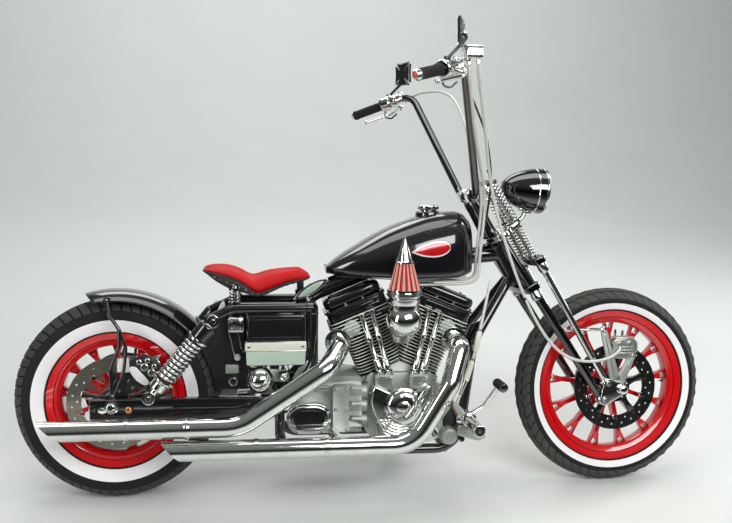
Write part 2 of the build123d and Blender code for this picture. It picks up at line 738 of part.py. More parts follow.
def build_rigid_fork():
    """Stem, lower crown and rear legs, which are one forging."""
    stem = FORK * Pos(0, 0, 446) * Cylinder(STEM_R, 218, align=(Align.CENTER, Align.CENTER, Align.MIN))
    face = outline([(-18, -26), (-12, -112), (36, -112), (36, 112), (-12, 112), (-18, 26)], 6)
    crown = FORK * Pos(0, 0, CROWN_LOW) * extrude(face, amount=CROWN_T)
    leg = rod(fork_point(38, 0, -LEG_Y), fork_point(2, CLAMP_LOW - SLANT_GAP, -LEG_Y), 14, 17)
    foot = rod(fork_point(40, 0, -LEG_Y - 15), fork_point(40, 0, -LEG_Y + 15), 18)
    return stem + crown + both_sides(leg + foot)


def build_front_legs():
    leg = rod(fork_point(SPRING_F, 52, -LEG_Y), fork_point(SPRING_F, 520, -LEG_Y), 11.5)
    eye = rod(fork_point(SPRING_F, 44, -LEG_Y - 13), fork_point(SPRING_F, 44, -LEG_Y + 13), 15)
    yoke = FORK * Pos(SPRING_F, 0, 0) * cut_plate(40, 218, YOKE_T, 10, YOKE_LOW)
    guide = rod(fork_point(SPRING_F, 510, -SPRING_Y), fork_point(SPRING_F, 824, -SPRING_Y), GUIDE_R, sides=6)
    cap = rod(fork_point(SPRING_F, 808, -SPRING_Y), fork_point(SPRING_F, 822, -SPRING_Y), 19)
    return both_sides(leg + eye) + yoke + both_sides(guide + cap)


def build_fork_springs():
    # Each row: the spring's foot and head on the steering axis, and its turns
    rows = [(YOKE_LOW + YOKE_T + FIT_GAP, CLAMP_LOW - FIT_GAP, 5),
            (CLAMP_LOW + CLAMP_T + FIT_GAP, 808 - FIT_GAP, 6)]
    return fused([spring(fork_point(SPRING_F, low, y), fork_point(SPRING_F, high, y), 21, 6.5, turns, GUIDE_R)
                  for y in (-SPRING_Y, SPRING_Y) for low, high, turns in rows])


def build_rockers():
    face = hull(polygon(40, 0, 17, 8), polygon(SPRING_F, 44, 15, 8), polygon(AXLE_OFFSET, 0, 19, 8))
    plate = FORK * extrude(Plane.XZ.offset(LEG_Y + 16) * face, amount=9)
    plate -= rod(fork_point(AXLE_OFFSET, 0, -140), fork_point(AXLE_OFFSET, 0, -100), room_for(FRONT_AXLE_R))
    bolts = rod(fork_point(40, 0, -LEG_Y - 30), fork_point(40, 0, -LEG_Y - 15.2), 10, sides=6)
    bolts += rod(fork_point(SPRING_F, 44, -LEG_Y - 30), fork_point(SPRING_F, 44, -LEG_Y - 15.2), 9, sides=6)
    return both_sides(plate + bolts)


def build_front_axle():
    axle = shaft(fork_point(AXLE_OFFSET, 0, -128), fork_point(AXLE_OFFSET, 0, 128), FRONT_AXLE_R)
    nut = rod(fork_point(AXLE_OFFSET, 0, -136), fork_point(AXLE_OFFSET, 0, -119.2), 16, sides=6)
    return axle + both_sides(nut)


LAMP_TAIL, LAMP_RIM = Vector(1262, 0, 1003), Vector(1402, 0, 992)
# Each row: a place along the lamp's shell, as a share from tail to rim, and its radius there
LAMP_SHELL = [(0, 22), (0.12, 38), (0.35, 56), (0.68, 72), (1, 77)]


def lamp_point(share):
    return LAMP_TAIL + (LAMP_RIM - LAMP_TAIL) * share


def build_headlight():
    along = (LAMP_RIM - LAMP_TAIL).normalized()
    shell = faceted([ring_round(lamp_point(share), along, radius, 14) for share, radius in LAMP_SHELL])
    mount = tube([fork_point(96.2, 651), fork_point(126, 651), (1356, 0, 950)], 9, [14], SMALL_SIDES)
    return shell + mount


def build_headlight_lens():
    along = (LAMP_RIM - LAMP_TAIL).normalized()
    rows = [(1.001, 74), (1.04, 68), (1.07, 44)]
    return faceted([ring_round(lamp_point(share), along, radius, 14) for share, radius in rows])


# The right half of the handlebar: grip's tip, top bend and the clamp on the risers
BAR_TIP, BAR_TOP, BAR_FOOT = Vector(850, -504, 1290), Vector(1030, -338, 1352), Vector(1148, -84, 976)


def other_side(point):
    return Vector(point.X, -point.Y, point.Z)


def build_handlebar():
    right = [BAR_TIP, BAR_TOP, BAR_FOOT]
    bar = tube(right + [other_side(point) for point in reversed(right)], BAR_R, [70, 60, 60, 70], BAR_SIDES)
    shape = bar
    for y in (-44, 44):
        riser = rod(fork_point(-4, CLAMP_LOW + CLAMP_T + SLANT_GAP, y), fork_point(-1, 790, y), 19, 15)
        clamp = rod((BAR_FOOT.X, y - 17, BAR_FOOT.Z), (BAR_FOOT.X, y + 17, BAR_FOOT.Z), 24)
        shape += riser + clamp
    return shape


# Each hand piece lies on the line from the bar's top bend to the grip's tip
HAND_RUN = (BAR_TIP - BAR_TOP).normalized()
HAND_LENGTH = (BAR_TIP - BAR_TOP).length
HOUSING_R = 27


def hand_point(along, out=(0, 0, 0)):
    return BAR_TOP + HAND_RUN * along + Vector(*out)


def bar_room():
    return rod(hand_point(60), hand_point(HAND_LENGTH), room_for(BAR_R, 8), sides=BAR_SIDES)


def build_grips():
    grip = rod(hand_point(HAND_LENGTH - 118), hand_point(HAND_LENGTH), 17.5)
    tip = rod(hand_point(HAND_LENGTH), hand_point(HAND_LENGTH + 14), 15, 9)
    return both_sides(grip - bar_room() + tip)


MASTER_X, MASTER_Y, MASTER_Z = (1008, 1058), (-440, -372), (1352, 1390)


def build_hand_controls():
    housing = rod(hand_point(88), hand_point(124), HOUSING_R)
    lever = tube([hand_point(92, (40, -16, -16)), hand_point(140, (62, -40, -20)),
                  hand_point(250, (44, -34, -22))], 7, [60], SMALL_SIDES)
    perch = rod(hand_point(96), hand_point(92, (46, -18, -16)), 13, sides=SMALL_SIDES)
    master = chamfer(block(MASTER_X, MASTER_Y, MASTER_Z).edges(), 4)
    return both_sides(housing + lever + perch - bar_room()) + master


def cross_face(reach):
    """Cross with four flared arms."""
    waist, flare = reach * 0.24, reach * 0.86
    points = []
    for turn in range(4):
        c, s = math.cos(turn * math.pi / 2), math.sin(turn * math.pi / 2)
        for x, y in ((reach, -flare), (reach, flare), (waist, waist)):
            points.append((x * c - y * s, x * s + y * c))
    return make_face(Polyline(*points, close=True))


def build_mirrors():
    stem = tube([hand_point(106, (2, 0, 24)), (1036, -388, 1432), (1012, -380, 1432)], 6, [12], SMALL_SIDES)
    mirror_plate = Pos(1004, -380, 1432) * Rot(0, 90, 0) * extrude(cross_face(43), amount=8)
    housing = rod(hand_point(60), hand_point(150), room_for(HOUSING_R))
    master = block(*[(low - FIT_GAP, high + FIT_GAP) for low, high in (MASTER_X, MASTER_Y, MASTER_Z)])
    return both_sides(stem + mirror_plate - housing) - master


def build_front_caliper():
    place = fork_point(AXLE_OFFSET, 0)
    arms = [slab(hull(polygon(place.X, place.Z, 20, 8), polygon(x, z, 11, 8)), -80, -73)
            for x, z in ((1598, 528), (1705, 440))]
    bore = rod((place.X, -120, place.Z), (place.X, -40, place.Z), room_for(FRONT_AXLE_R))
    body = block((1626, 1716), (-82, -44), (425, 500)) - block((1600, 1740), (-71, -53), (380, 520))
    bridge = block((1650, 1716), (-82, -44), (480, 500))
    stay = rod((1598, -74, 528), fork_point(22, 280, -74), 4.4, sides=6)
    return fused(arms + [body, bridge, stay]) - bore


def build_fork_lines():
    """Brake hose from the right bar down to the front caliper, and a cable down to the steering head."""
    bottom = MASTER_Z[0] - FIT_GAP
    hose = [(1046, -424, bottom), (1046, -424, 1322), (1080, -352, 1244), (1122, -262, 1150),
            (1160, -176, 1050), (1194, -136, 940), (1236, -126, 810), (1300, -126, 640), (1376, -126, 506),
            (1452, -122, 440), (1540, -116, 424), (1612, -112, 438), (1652, -104, 466), (1652, -82.2, 466)]
    cable = [(1024, -404, bottom), (1024, -404, 1322), (1056, -336, 1236), (1090, -256, 1160),
             (1136, -160, 1070), (1164, -118, 1000), (1176, -96, 940)]
    return fused([tube(hose, CABLE_R, [20] + [60] * 10 + [14], CABLE_SIDES),
                  tube(cable, CABLE_R, [20] + [60] * 4, CABLE_SIDES)])


def build_frame_lines():
    """Cables' last stretch, from the steering head down under the tank and along it."""
    lower = [(1166, -86, 770), (1166, -86, 712), (1138, -84, 692), (1090, -84, 690), (950, -84, 688)]
    upper = [(1158, -70, 776), (1158, -68, 716), (1130, -66, 702), (1088, -62, 701), (930, -64, 699)]
    return fused([tube(route, CABLE_R, [22, 22, 40], CABLE_SIDES) for route in (lower, upper)])


# Foot controls, stand, brakes, axles

PEG_PLACE, PEG_R, PEG_Y = (1116, 266), 19, (196, 330)


def build_foot_control(side):
    """Forward control: bracket on the cradle, peg, pedal arm and pad. side is -1 for right, 1 for left."""
    bracket = slab(outline([(1030, 190), (1010, 270), (1064, 330), (1096, 300), (1130, 268), (1110, 236)], 6),
                   146, 158)
    mount = rod((1098, 142.4, 245), (1098, 150, 245), 15, sides=SMALL_SIDES)
    boss = rod((1038, 158, 264), (1038, 196, 264), 28)
    peg_arm = rod((1080, 166, 262), (1116, 178, 266), 15, sides=SMALL_SIDES)
    stem = rod((PEG_PLACE[0], 157, PEG_PLACE[1]), (PEG_PLACE[0], PEG_Y[0], PEG_PLACE[1]), 25)
    peg = shaft((PEG_PLACE[0], PEG_Y[0] - 1, PEG_PLACE[1]), (PEG_PLACE[0], PEG_Y[1], PEG_PLACE[1]), PEG_R)
    pedal = tube([(1090, 172, 262), (1160, 200, 310), (1200, 235, 388)], 8, [30], SMALL_SIDES)
    pad = rod((1200, 200, 388), (1200, 290, 388), 15, sides=SMALL_SIDES)
    shape = fused([bracket, mount, boss, peg_arm, stem, peg, pedal, pad])
    return shape if side > 0 else mirror(shape, about=Plane.XZ)


def build_side_stand():
    run = STAND_FOOT - STAND_PIVOT
    half = STAND_AXIS * KNUCKLE_HALF
    knuckle = rod(STAND_PIVOT - half, STAND_PIVOT + half, KNUCKLE_R, sides=10)
    bore = shaft(STAND_PIVOT - STAND_AXIS * 40, STAND_PIVOT + STAND_AXIS * 40, 6.3)
    leg = rod(STAND_PIVOT + run * 0.05, STAND_FOOT, 13, 10)
    ground = Vector(STAND_FOOT.X, STAND_FOOT.Y, STAND_FOOT.Z - STAND_FOOT_H)
    pad = Location(tuple(ground), (LEAN, 0, 0)) * Pos(0, 0, 4) * Box(64, 40, 8)
    neck = rod(ground + Vector(0, 0, 4), STAND_FOOT, 12, sides=SMALL_SIDES)
    tang = rod(STAND_PIVOT + run * 0.6, STAND_PIVOT + run * 0.6 + Vector(34, 8, -10), 5, sides=SMALL_SIDES)
    return fused([knuckle, leg, pad, neck, tang]) - bore


def build_rear_axle():
    axle = shaft((0, -160, REAR_TYRE_R), (0, 160, REAR_TYRE_R), REAR_AXLE_R)
    return axle + both_sides(rod((0, -172, REAR_TYRE_R), (0, -150.2, REAR_TYRE_R), 19, sides=6))


def build_rear_caliper():
    plate = outline([(-30, 345), (30, 345), (120, 395), (150, 440), (110, 480), (60, 470)], 7)
    carrier = slab(plate, -117.8, -109)
    body = block((60, 146), (-117.8, -82), (388, 470)) - block((40, 160), (-107, -89), (380, 464))
    return carrier + body


CLUTCH_ROUTE = [(1206, -82, 700), (1166, -116, 548), (1149, -124, 480), (1128, -130, 410), (1085, -134, 300),
                (1040, -134, 198), (960, -142, 186), (800, -160, 190), (700, -166, 214), (684, -152, 240)]
CLUTCH_BENDS = [60, 100, 100, 160, 60, 60, 100, 60]


def build_clutch_cable():
    return tube(CLUTCH_ROUTE, CABLE_R, CLUTCH_BENDS, CABLE_SIDES)


BUILDERS = {
    "frame": build_frame,
    "swingarm": build_swingarm,
    "rear_shocks": build_shocks,
    "shock_springs": build_shock_springs,
    "rear_fender": build_fender,
    "rear_axle": build_rear_axle,
    "rear_caliper": build_rear_caliper,
    "seat_cushion": build_seat,
    "seat_pan": build_seat_pan,
    "seat_springs": build_seat_springs,
    "fuel_tank": build_tank,
    "fuel_cap": build_fuel_cap,
    "crankcase": build_crankcase,
    "cylinders": build_cylinders,
    "cylinder_heads": build_heads,
    "rocker_boxes": build_rocker_boxes,
    "pushrod_tubes": build_pushrods,
    "cam_cover": build_cam_cover,
    "gearbox": build_gearbox,
    "release_cover": build_release_cover,
    "starter": build_starter,
    "primary_cover": build_primary,
    "front_pulley": build_front_pulley,
    "drive_belt": build_belt,
    "intake": build_intake,
    "air_cleaner": build_air_cleaner,
    "upper_exhaust": build_upper_exhaust,
    "lower_exhaust": build_lower_exhaust,
    "battery_box": build_battery_box,
    "relay_box": build_relay_box,
    "side_leaf": build_side_leaf,
    "right_foot_control": lambda: build_foot_control(-1),
    "left_foot_control": lambda: build_foot_control(1),
    "clutch_cable": build_clutch_cable,
    "frame_lines": build_frame_lines,
    "rigid_fork": build_rigid_fork,
    "top_clamp": build_top_clamp,
    "front_fork_legs": build_front_legs,
    "fork_springs": build_fork_springs,
    "fork_rockers": build_rockers,
    "front_axle": build_front_axle,
    "front_caliper": build_front_caliper,
    "headlight": build_headlight,
    "headlight_lens": build_headlight_lens,
    "handlebar": build_handlebar,
    "grips": build_grips,
    "hand_controls": build_hand_controls,
    "mirrors": build_mirrors,
    "fork_lines": build_fork_lines,
    "front_wheel": lambda: build_wheel(FRONT_RIM_R, FRONT_RIM_HALF, FRONT_AXLE, 44, 42, FRONT_AXLE_R),
    "front_tyre": lambda: build_tyre(FRONT_TYRE_R, FRONT_RIM_R, FRONT_TYRE_HALF, FRONT_RIM_HALF, FRONT_AXLE),
    "front_disc": lambda: build_disc(FRONT_AXLE, -62, DISC_R, 42),
    "rear_wheel": lambda: build_wheel(REAR_RIM_R, REAR_RIM_HALF, REAR_AXLE, 58, 82, REAR_AXLE_R),
    "rear_tyre": lambda: build_tyre(REAR_TYRE_R, REAR_RIM_R, REAR_TYRE_HALF, REAR_RIM_HALF, REAR_AXLE),
    "rear_disc": lambda: build_disc(REAR_AXLE, -98, DISC_R, 82),
    "rear_pulley": build_pulley,
    "side_stand": build_side_stand,
}

# Nodes that turn with the fork, and so are steered at rest
STEERED = ["rigid_fork", "top_clamp", "front_fork_legs", "fork_springs", "fork_rockers", "front_axle",
           "front_caliper", "headlight", "headlight_lens", "handlebar", "grips", "hand_controls", "mirrors",
           "fork_lines", "front_wheel", "front_tyre", "front_disc"]

STEER_AXIS = Axis(tuple(STEER_BASE), tuple(U))


def stand_offset(shapes):
    """Shift that puts the middle of the whole box's bottom on the origin."""
    boxes = [shape.bounding_box() for shape in shapes.values()]
    low = [min(getattr(box.min, axis) for box in boxes) for axis in "XYZ"]
    high = [max(getattr(box.max, axis) for box in boxes) for axis in "XYZ"]
    return Vector(-(low[0] + high[0]) / 2, -(low[1] + high[1]) / 2, -low[2])


def build_all():
    """Every piece, with the fork steered to its rest and the motorcycle leaned onto its stand."""
    shapes = {}
    for name, builder in BUILDERS.items():
        shape = builder()
        if name in STEERED:
            shape = shape.rotate(STEER_AXIS, STEER_REST)
        shapes[name] = shape.rotate(Axis.X, -LEAN)
    return shapes


SHAPES = build_all()
OFFSET = stand_offset(SHAPES)
for name, shape in SHAPES.items():
    export_step(Pos(*OFFSET) * shape, "parts/" + name + ".step")
print("offset", OFFSET)
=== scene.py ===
import json
from math import acos, atan2, copysign, cos, degrees, exp, hypot, pi, radians, sin, tan, tau

import bmesh
import bpy
from bmesh.types import BMEdge, BMVert
from bpy.types import Operator, Panel, PropertyGroup
from mathutils import Matrix, Vector
from mathutils.geometry import convex_hull_2d


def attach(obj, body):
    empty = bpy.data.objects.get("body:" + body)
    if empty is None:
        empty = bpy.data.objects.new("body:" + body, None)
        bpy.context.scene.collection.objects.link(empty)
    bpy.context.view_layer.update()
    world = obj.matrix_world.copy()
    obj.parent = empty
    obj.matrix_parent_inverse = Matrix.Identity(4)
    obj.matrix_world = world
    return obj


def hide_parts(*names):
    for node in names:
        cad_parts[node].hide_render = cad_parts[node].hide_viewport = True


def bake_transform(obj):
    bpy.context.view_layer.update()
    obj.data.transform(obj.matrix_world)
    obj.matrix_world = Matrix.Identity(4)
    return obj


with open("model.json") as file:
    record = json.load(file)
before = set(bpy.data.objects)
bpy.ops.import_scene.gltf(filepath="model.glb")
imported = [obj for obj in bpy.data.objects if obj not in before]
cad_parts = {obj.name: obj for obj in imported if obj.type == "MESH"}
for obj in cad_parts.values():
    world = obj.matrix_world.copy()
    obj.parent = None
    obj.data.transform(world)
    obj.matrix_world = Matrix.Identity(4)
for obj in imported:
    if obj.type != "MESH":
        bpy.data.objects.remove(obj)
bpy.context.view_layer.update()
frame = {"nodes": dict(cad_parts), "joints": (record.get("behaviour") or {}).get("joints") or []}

bl_info = {
    "name": "Chopper motorcycle",
    "version": (1, 0, 0),
    "blender": (4, 5, 0),
    "location": "View3D > Sidebar > Chopper",
    "description": "Dresses the motorcycle's frame with its wheels, engine, tank, seat and finishes",
    "category": "Add Mesh",
}

# Places are in millimetres on the upright motorcycle: X forward, Y to the rider's left, Z up,
# from the ground under the rear axle. BIKE takes them to the frame, where it leans on its stand.
MM = 0.001
LEAN = radians(10)
RAKE = radians(30.1)
STEER_REST = radians(4)
REAR_AXLE = Vector((0, 0, 323))
FRONT_AXLE = Vector((1648, 0, 331))
REAR_TYRE_R, REAR_RIM_R, REAR_TYRE_HALF, REAR_RIM_HALF = 323, 217, 76, 60
FRONT_TYRE_R, FRONT_RIM_R, FRONT_TYRE_HALF, FRONT_RIM_HALF = 331, 256, 49, 38
SPOKES = 13
CRANK = Vector((908, 0, 275))
V_HALF = radians(22.5)
DECK = 150

JOINTS = {joint["name"]: joint for joint in frame["joints"]}
LEANED = Matrix.Rotation(-LEAN, 4, "X")
ORIGIN = Vector(JOINTS["rear_wheel_spin"]["pos_m"]) - LEANED @ (REAR_AXLE * MM)
BIKE = Matrix.Translation(ORIGIN) @ LEANED @ Matrix.Scale(MM, 4)

STEER_UP = Vector((-sin(RAKE), 0, cos(RAKE)))
STEER_AHEAD = Vector((cos(RAKE), 0, sin(RAKE)))
STEER_BASE = FRONT_AXLE - STEER_AHEAD * 110
FORK = (BIKE @ Matrix.Translation(STEER_BASE) @ Matrix.Rotation(STEER_REST, 4, STEER_UP)
    @ Matrix.Translation(-STEER_BASE))


def fork_point(ahead, up, side=0):
    """Point of the straight fork: ahead of the steering axis, up along it, and to the left."""
    return STEER_BASE + STEER_AHEAD * ahead + STEER_UP * up + Vector((0, side, 0))


# Places and profiles


def at(x, y, z):
    return Matrix.Translation((x, y, z))


def tilt(angle, axis):
    """Place turned by an angle in degrees about an axis."""
    return Matrix.Rotation(radians(angle), 4, axis)


ALONG_Y = tilt(-90, "X")


def facing(centre, direction):
    """Place whose Z looks along a direction."""
    return at(*centre) @ Vector(direction).to_track_quat("Z", "Y").to_matrix().to_4x4()


def across(centre):
    """Place whose Z looks to the left, for what turns about an axle."""
    return at(*centre) @ ALONG_Y


def rightward(centre):
    """Place whose Z looks out of the right side."""
    return at(*centre) @ tilt(90, "X")


def rounded(points, radius, steps=3, closed=False):
    """The line of points with each corner eased by a small curve."""
    points = [Vector(point) for point in points]
    eased = []
    for number, corner in enumerate(points):
        if not closed and number in (0, len(points) - 1):
            eased.append(corner)
            continue
        back = points[number - 1] - corner
        ahead = points[(number + 1) % len(points)] - corner
        reach = min(radius, back.length * 0.48, ahead.length * 0.48)
        start = corner + back.normalized() * reach
        end = corner + ahead.normalized() * reach
        for step in range(steps + 1):
            t = step / steps
            eased.append(start * (1 - t) ** 2 + corner * (2 * t * (1 - t)) + end * t ** 2)
    return eased


# Forms: each is a bmesh in millimetres


def moved(form, place):
    bmesh.ops.transform(form, matrix=place, verts=form.verts)
    return form


def placed(forms, place):
    return [moved(form, place) for form in (forms if isinstance(forms, list) else [forms])]


def flipped(form):
    """Copy of a form on the other side of the motorcycle."""
    copy = form.copy()
    bmesh.ops.scale(copy, vec=(1, -1, 1), verts=copy.verts)
    bmesh.ops.reverse_faces(copy, faces=copy.faces)
    return copy


def pair(*forms):
    """Each form and its copy on the other side."""
    return [each for form in forms for each in (form, flipped(form))]


def ring_of(form, count, radius=0, start=0, place=Matrix()):
    """Copies of a form about the Z of a place, each pushed out by a radius; the form itself is used up."""
    made = [moved(form.copy(), place @ Matrix.Rotation(start + number * tau / count, 4, "Z")
        @ at(radius, 0, 0)) for number in range(count)]
    form.free()
    return made


def only(kind, made):
    """What is of one kind among the things that an operator of bmesh made."""
    return [each for each in made if isinstance(each, kind)]


def closed_line(form, points):
    """Vertices and edges of a closed line through points."""
    verts = [form.verts.new(point) for point in points]
    return verts, [form.edges.new((vert, verts[number - 1])) for number, vert in enumerate(verts)]


def open_line(form, points):
    """Vertices and edges of an open line through points."""
    verts = [form.verts.new(point) for point in points]
    return verts, [form.edges.new(ends) for ends in zip(verts, verts[1:])]


def closed_up(form):
    """Fills a form's open ends and turns its faces outward."""
    bmesh.ops.holes_fill(form, edges=form.edges, sides=0)
    bmesh.ops.recalc_face_normals(form, faces=form.faces)
    return form


def soften(form, width, segments=2, angle=30):
    """Bevels every edge sharper than an angle."""
    limit = radians(angle)
    edges = [edge for edge in form.edges if len(edge.link_faces) == 2 and edge.calc_face_angle() > limit]
    if edges:
        bmesh.ops.bevel(form, geom=edges, offset=width, segments=segments, profile=0.5, affect="EDGES",
            material=-1, clamp_overlap=True)
    return form


def turned(profile, place=None, steps=64, closed=False):
    """Surface of revolution about Z from (radius, height) points."""
    form = bmesh.new()
    verts, edges = open_line(form, [(point[0], 0, point[1]) for point in profile])
    if closed:
        edges.append(form.edges.new((verts[-1], verts[0])))
    bmesh.ops.spin(form, geom=verts + edges, cent=(0, 0, 0), axis=(0, 0, 1), angle=tau, steps=steps,
        use_merge=True)
    bmesh.ops.remove_doubles(form, verts=form.verts, dist=0.01)
    bmesh.ops.recalc_face_normals(form, faces=form.faces)
    return moved(form, place) if place else form


def knob(profile, ease, place=None, steps=64, corners=3):
    """Surface of revolution with eased corners."""
    return turned(rounded(profile, ease, corners), place, steps)


def collar(profile, ease, place=None, steps=64, corners=2):
    """Hollow surface of revolution, its closed profile with eased corners."""
    return turned(rounded(profile, ease, corners, closed=True), place, steps, closed=True)


def ball(radius, place, steps=28, angles=range(0, 181, 15), end=()):
    """Ball, or the part of one that angles up from its lowest point span."""
    profile = [(radius * sin(radians(a)), -radius * cos(radians(a))) for a in angles]
    return turned(profile + list(end), place, steps)


def swept(section, angle, steps):
    """Solid spun about Z by an angle from a closed section of (radius, height) points."""
    form = bmesh.new()
    verts, edges = closed_line(form, [(radius, 0, height) for radius, height in section])
    bmesh.ops.spin(form, geom=verts + edges, axis=(0, 0, 1), angle=angle, steps=steps)
    return closed_up(form)


def rod(start, end, radius, end_radius=None, edge=1.0, steps=28):
    """Round bar or cone with eased ends."""
    start, end = Vector(start), Vector(end)
    length = (end - start).length
    end_radius = radius if end_radius is None else end_radius
    profile = rounded([(0, 0), (radius, 0), (end_radius, length), (0, length)], edge)
    return turned(profile, facing(start, end - start), steps)


def block(size, centre=(0, 0, 0), edge=2.0, segments=2, turn=None):
    """Box with eased edges."""
    form = bmesh.new()
    bmesh.ops.create_cube(form, size=1)
    bmesh.ops.scale(form, vec=size, verts=form.verts)
    soften(form, edge, segments)
    return moved(form, at(*centre) @ turn if turn else at(*centre))


def plate(points, low, high, corner=0, edge=1.0, segments=2, place=None):
    """Flat outline drawn in X and Z, with rounded corners, from one Y to another."""
    form = bmesh.new()
    points = rounded(points, corner, 5, closed=True) if corner else [Vector(point) for point in points]
    verts = [form.verts.new((point[0], low, point[1])) for point in points]
    face = bmesh.ops.contextual_create(form, geom=verts)["faces"]
    grown = bmesh.ops.extrude_face_region(form, geom=face)["geom"]
    bmesh.ops.translate(form, vec=(0, high - low, 0), verts=only(BMVert, grown))
    bmesh.ops.recalc_face_normals(form, faces=form.faces)
    if edge:
        soften(form, edge, segments, 40)
    return moved(form, place) if place else form


def slot_outline(length, width, steps=8):
    """Points of a slot shape about the origin, long along X."""
    reach, radius = (length - width) / 2, width / 2
    points = []
    for side in (1, -1):
        for step in range(steps + 1):
            angle = pi * (step / steps - 0.5)
            points.append((side * (reach + radius * cos(angle)), side * radius * sin(angle)))
    return points


def grow(form, loop, shift):
    """Extrudes a loop of edges by a shift and returns the new loop."""
    made = bmesh.ops.extrude_edge_only(form, edges=loop)["geom"]
    fresh = set(only(BMVert, made))
    bmesh.ops.translate(form, vec=shift, verts=list(fresh))
    return [edge for edge in only(BMEdge, made) if set(edge.verts) <= fresh]


def tube(points, radius, bends=0, steps=20, arc_steps=10, end_radius=None):
    """Round bar along straight runs, with an arc of its own radius at each inner point."""
    form = bmesh.new()
    points = [Vector(point) for point in points]
    place = facing(points[0], points[1] - points[0])
    verts = bmesh.ops.create_circle(form, segments=steps, radius=radius, matrix=place)["verts"]
    loop = list({edge for vert in verts for edge in vert.link_edges})
    here = points[0]
    for number in range(1, len(points) - 1):
        corner = points[number]
        before = (corner - points[number - 1]).normalized()
        after = (points[number + 1] - corner).normalized()
        turn = before.angle(after)
        bend = bends[number - 1] if isinstance(bends, (list, tuple)) else bends
        if turn < 0.002:
            continue
        reach = bend * tan(turn / 2)
        stop = corner - before * reach
        if (stop - here).dot(before) > 0.01:
            loop = grow(form, loop, stop - here)
        centre = stop + (after - before * before.dot(after)).normalized() * bend
        spun = bmesh.ops.spin(form, geom=loop + list({v for e in loop for v in e.verts}), cent=centre,
            axis=before.cross(after), angle=turn, steps=max(2, round(arc_steps * turn / 1.2)))
        loop = only(BMEdge, spun["geom_last"])
        here = corner + after * reach
    loop = grow(form, loop, points[-1] - here)
    if end_radius:
        bmesh.ops.scale(form, vec=(end_radius / radius,) * 3, space=at(*(-points[-1])),
            verts=list({v for e in loop for v in e.verts}))
    return closed_up(form)


def coil(start, end, radius, wire, turns, steps=18, section=8):
    """Coil spring of round wire between two points."""
    start, end = Vector(start), Vector(end)
    length = (end - start).length - 2 * wire
    form = bmesh.new()
    place = at(radius - wire, 0, wire) @ tilt(90, "X")
    verts = bmesh.ops.create_circle(form, cap_ends=False, segments=section, radius=wire,
        matrix=place)["verts"]
    edges = list({edge for vert in verts for edge in vert.link_edges})
    count = round(turns * steps)
    bmesh.ops.spin(form, geom=verts + edges, cent=(0, 0, 0), axis=(0, 0, 1), dvec=(0, 0, length / count),
        angle=tau * turns, steps=count)
    return moved(closed_up(form), facing(start, end - start))


def bolt(place, radius=6, height=5, sides=6):
    """Bolt head with a washer, standing on a place."""
    head = bmesh.new()
    bmesh.ops.create_cone(head, cap_ends=True, segments=sides, radius1=radius, radius2=radius, depth=height,
        matrix=at(0, 0, height / 2 + 1))
    soften(head, radius * 0.12, 1)
    washer = turned([(0, 0), (radius * 1.35, 0), (radius * 1.35, 1), (0, 1)], steps=16)
    return [moved(head, place), moved(washer, place)]


def cap_screw(place, radius=5, height=6):
    """Socket-head screw standing on a place."""
    profile = [(0, 0), (radius, 0), (radius, height - 1), (radius - 1, height), (radius * 0.55, height),
        (radius * 0.5, height * 0.45), (0, height * 0.45)]
    return turned(profile, place, 14)


def screws_at(y, places, radius=5, height=5):
    """Socket screws standing out of the right side at (X, Z) places."""
    return [cap_screw(rightward((x, y, z)), radius, height) for x, z in places]


def screw_circle(place, count, radius, size, height, start=0):
    """Socket screws on a circle about the Z of a place."""
    return ring_of(cap_screw(at(0, 0, 0), size, height), count, radius, start, place)


def cut_away(form, point, normal):
    """Cuts a form by a plane, drops what lies on the normal's side and closes it."""
    geometry = form.verts[:] + form.edges[:] + form.faces[:]
    bmesh.ops.bisect_plane(form, geom=geometry, plane_co=point, plane_no=normal, clear_outer=True)
    bmesh.ops.holes_fill(form, edges=[e for e in form.edges if e.is_boundary], sides=0)
    return form


def casting(node, edge=0.8, segments=2, angle=28, place=None):
    """A frame node's own shape, merged, in millimetres on the upright motorcycle, with eased edges."""
    form = bmesh.new()
    form.from_mesh(frame["nodes"][node].data)
    form.transform((place or BIKE).inverted())
    bmesh.ops.remove_doubles(form, verts=form.verts, dist=0.02)
    bmesh.ops.dissolve_limit(form, angle_limit=radians(1.5), verts=form.verts, edges=form.edges)
    return soften(form, edge, segments, angle) if edge else form


def shown(name, data):
    """New object in the scene."""
    made = bpy.data.objects.new(name, data)
    bpy.context.scene.collection.objects.link(made)
    return made


def piece(node, parts, body="frame", name=None, place=None, sharp=32):
    """One object of forms, each with its finish, that rides on a body and stands for a node of the frame."""
    name = name or node + "_dressed"
    mesh, step, whole, names = bpy.data.meshes.new(name), bpy.data.meshes.new("step"), bmesh.new(), []
    for forms, look in parts:
        for form in forms if isinstance(forms, list) else [forms]:
            for face in form.faces:
                wanted = look(face) if callable(look) else look
                if wanted not in names:
                    names.append(wanted)
                face.material_index = names.index(wanted)
                face.smooth = True
            form.to_mesh(step)
            whole.from_mesh(step)
            form.free()
    if place is None:
        place = FORK if body in ("fork", "front_wheel") else BIKE
    whole.transform(place)
    whole.to_mesh(mesh)
    whole.free()
    bpy.data.meshes.remove(step)
    mesh.set_sharp_from_angle(angle=radians(sharp))
    for look in names:
        mesh.materials.append(finish(look))
    made = shown(name, mesh)
    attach(made, body)
    if node:
        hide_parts(node)
    return made


# Finishes


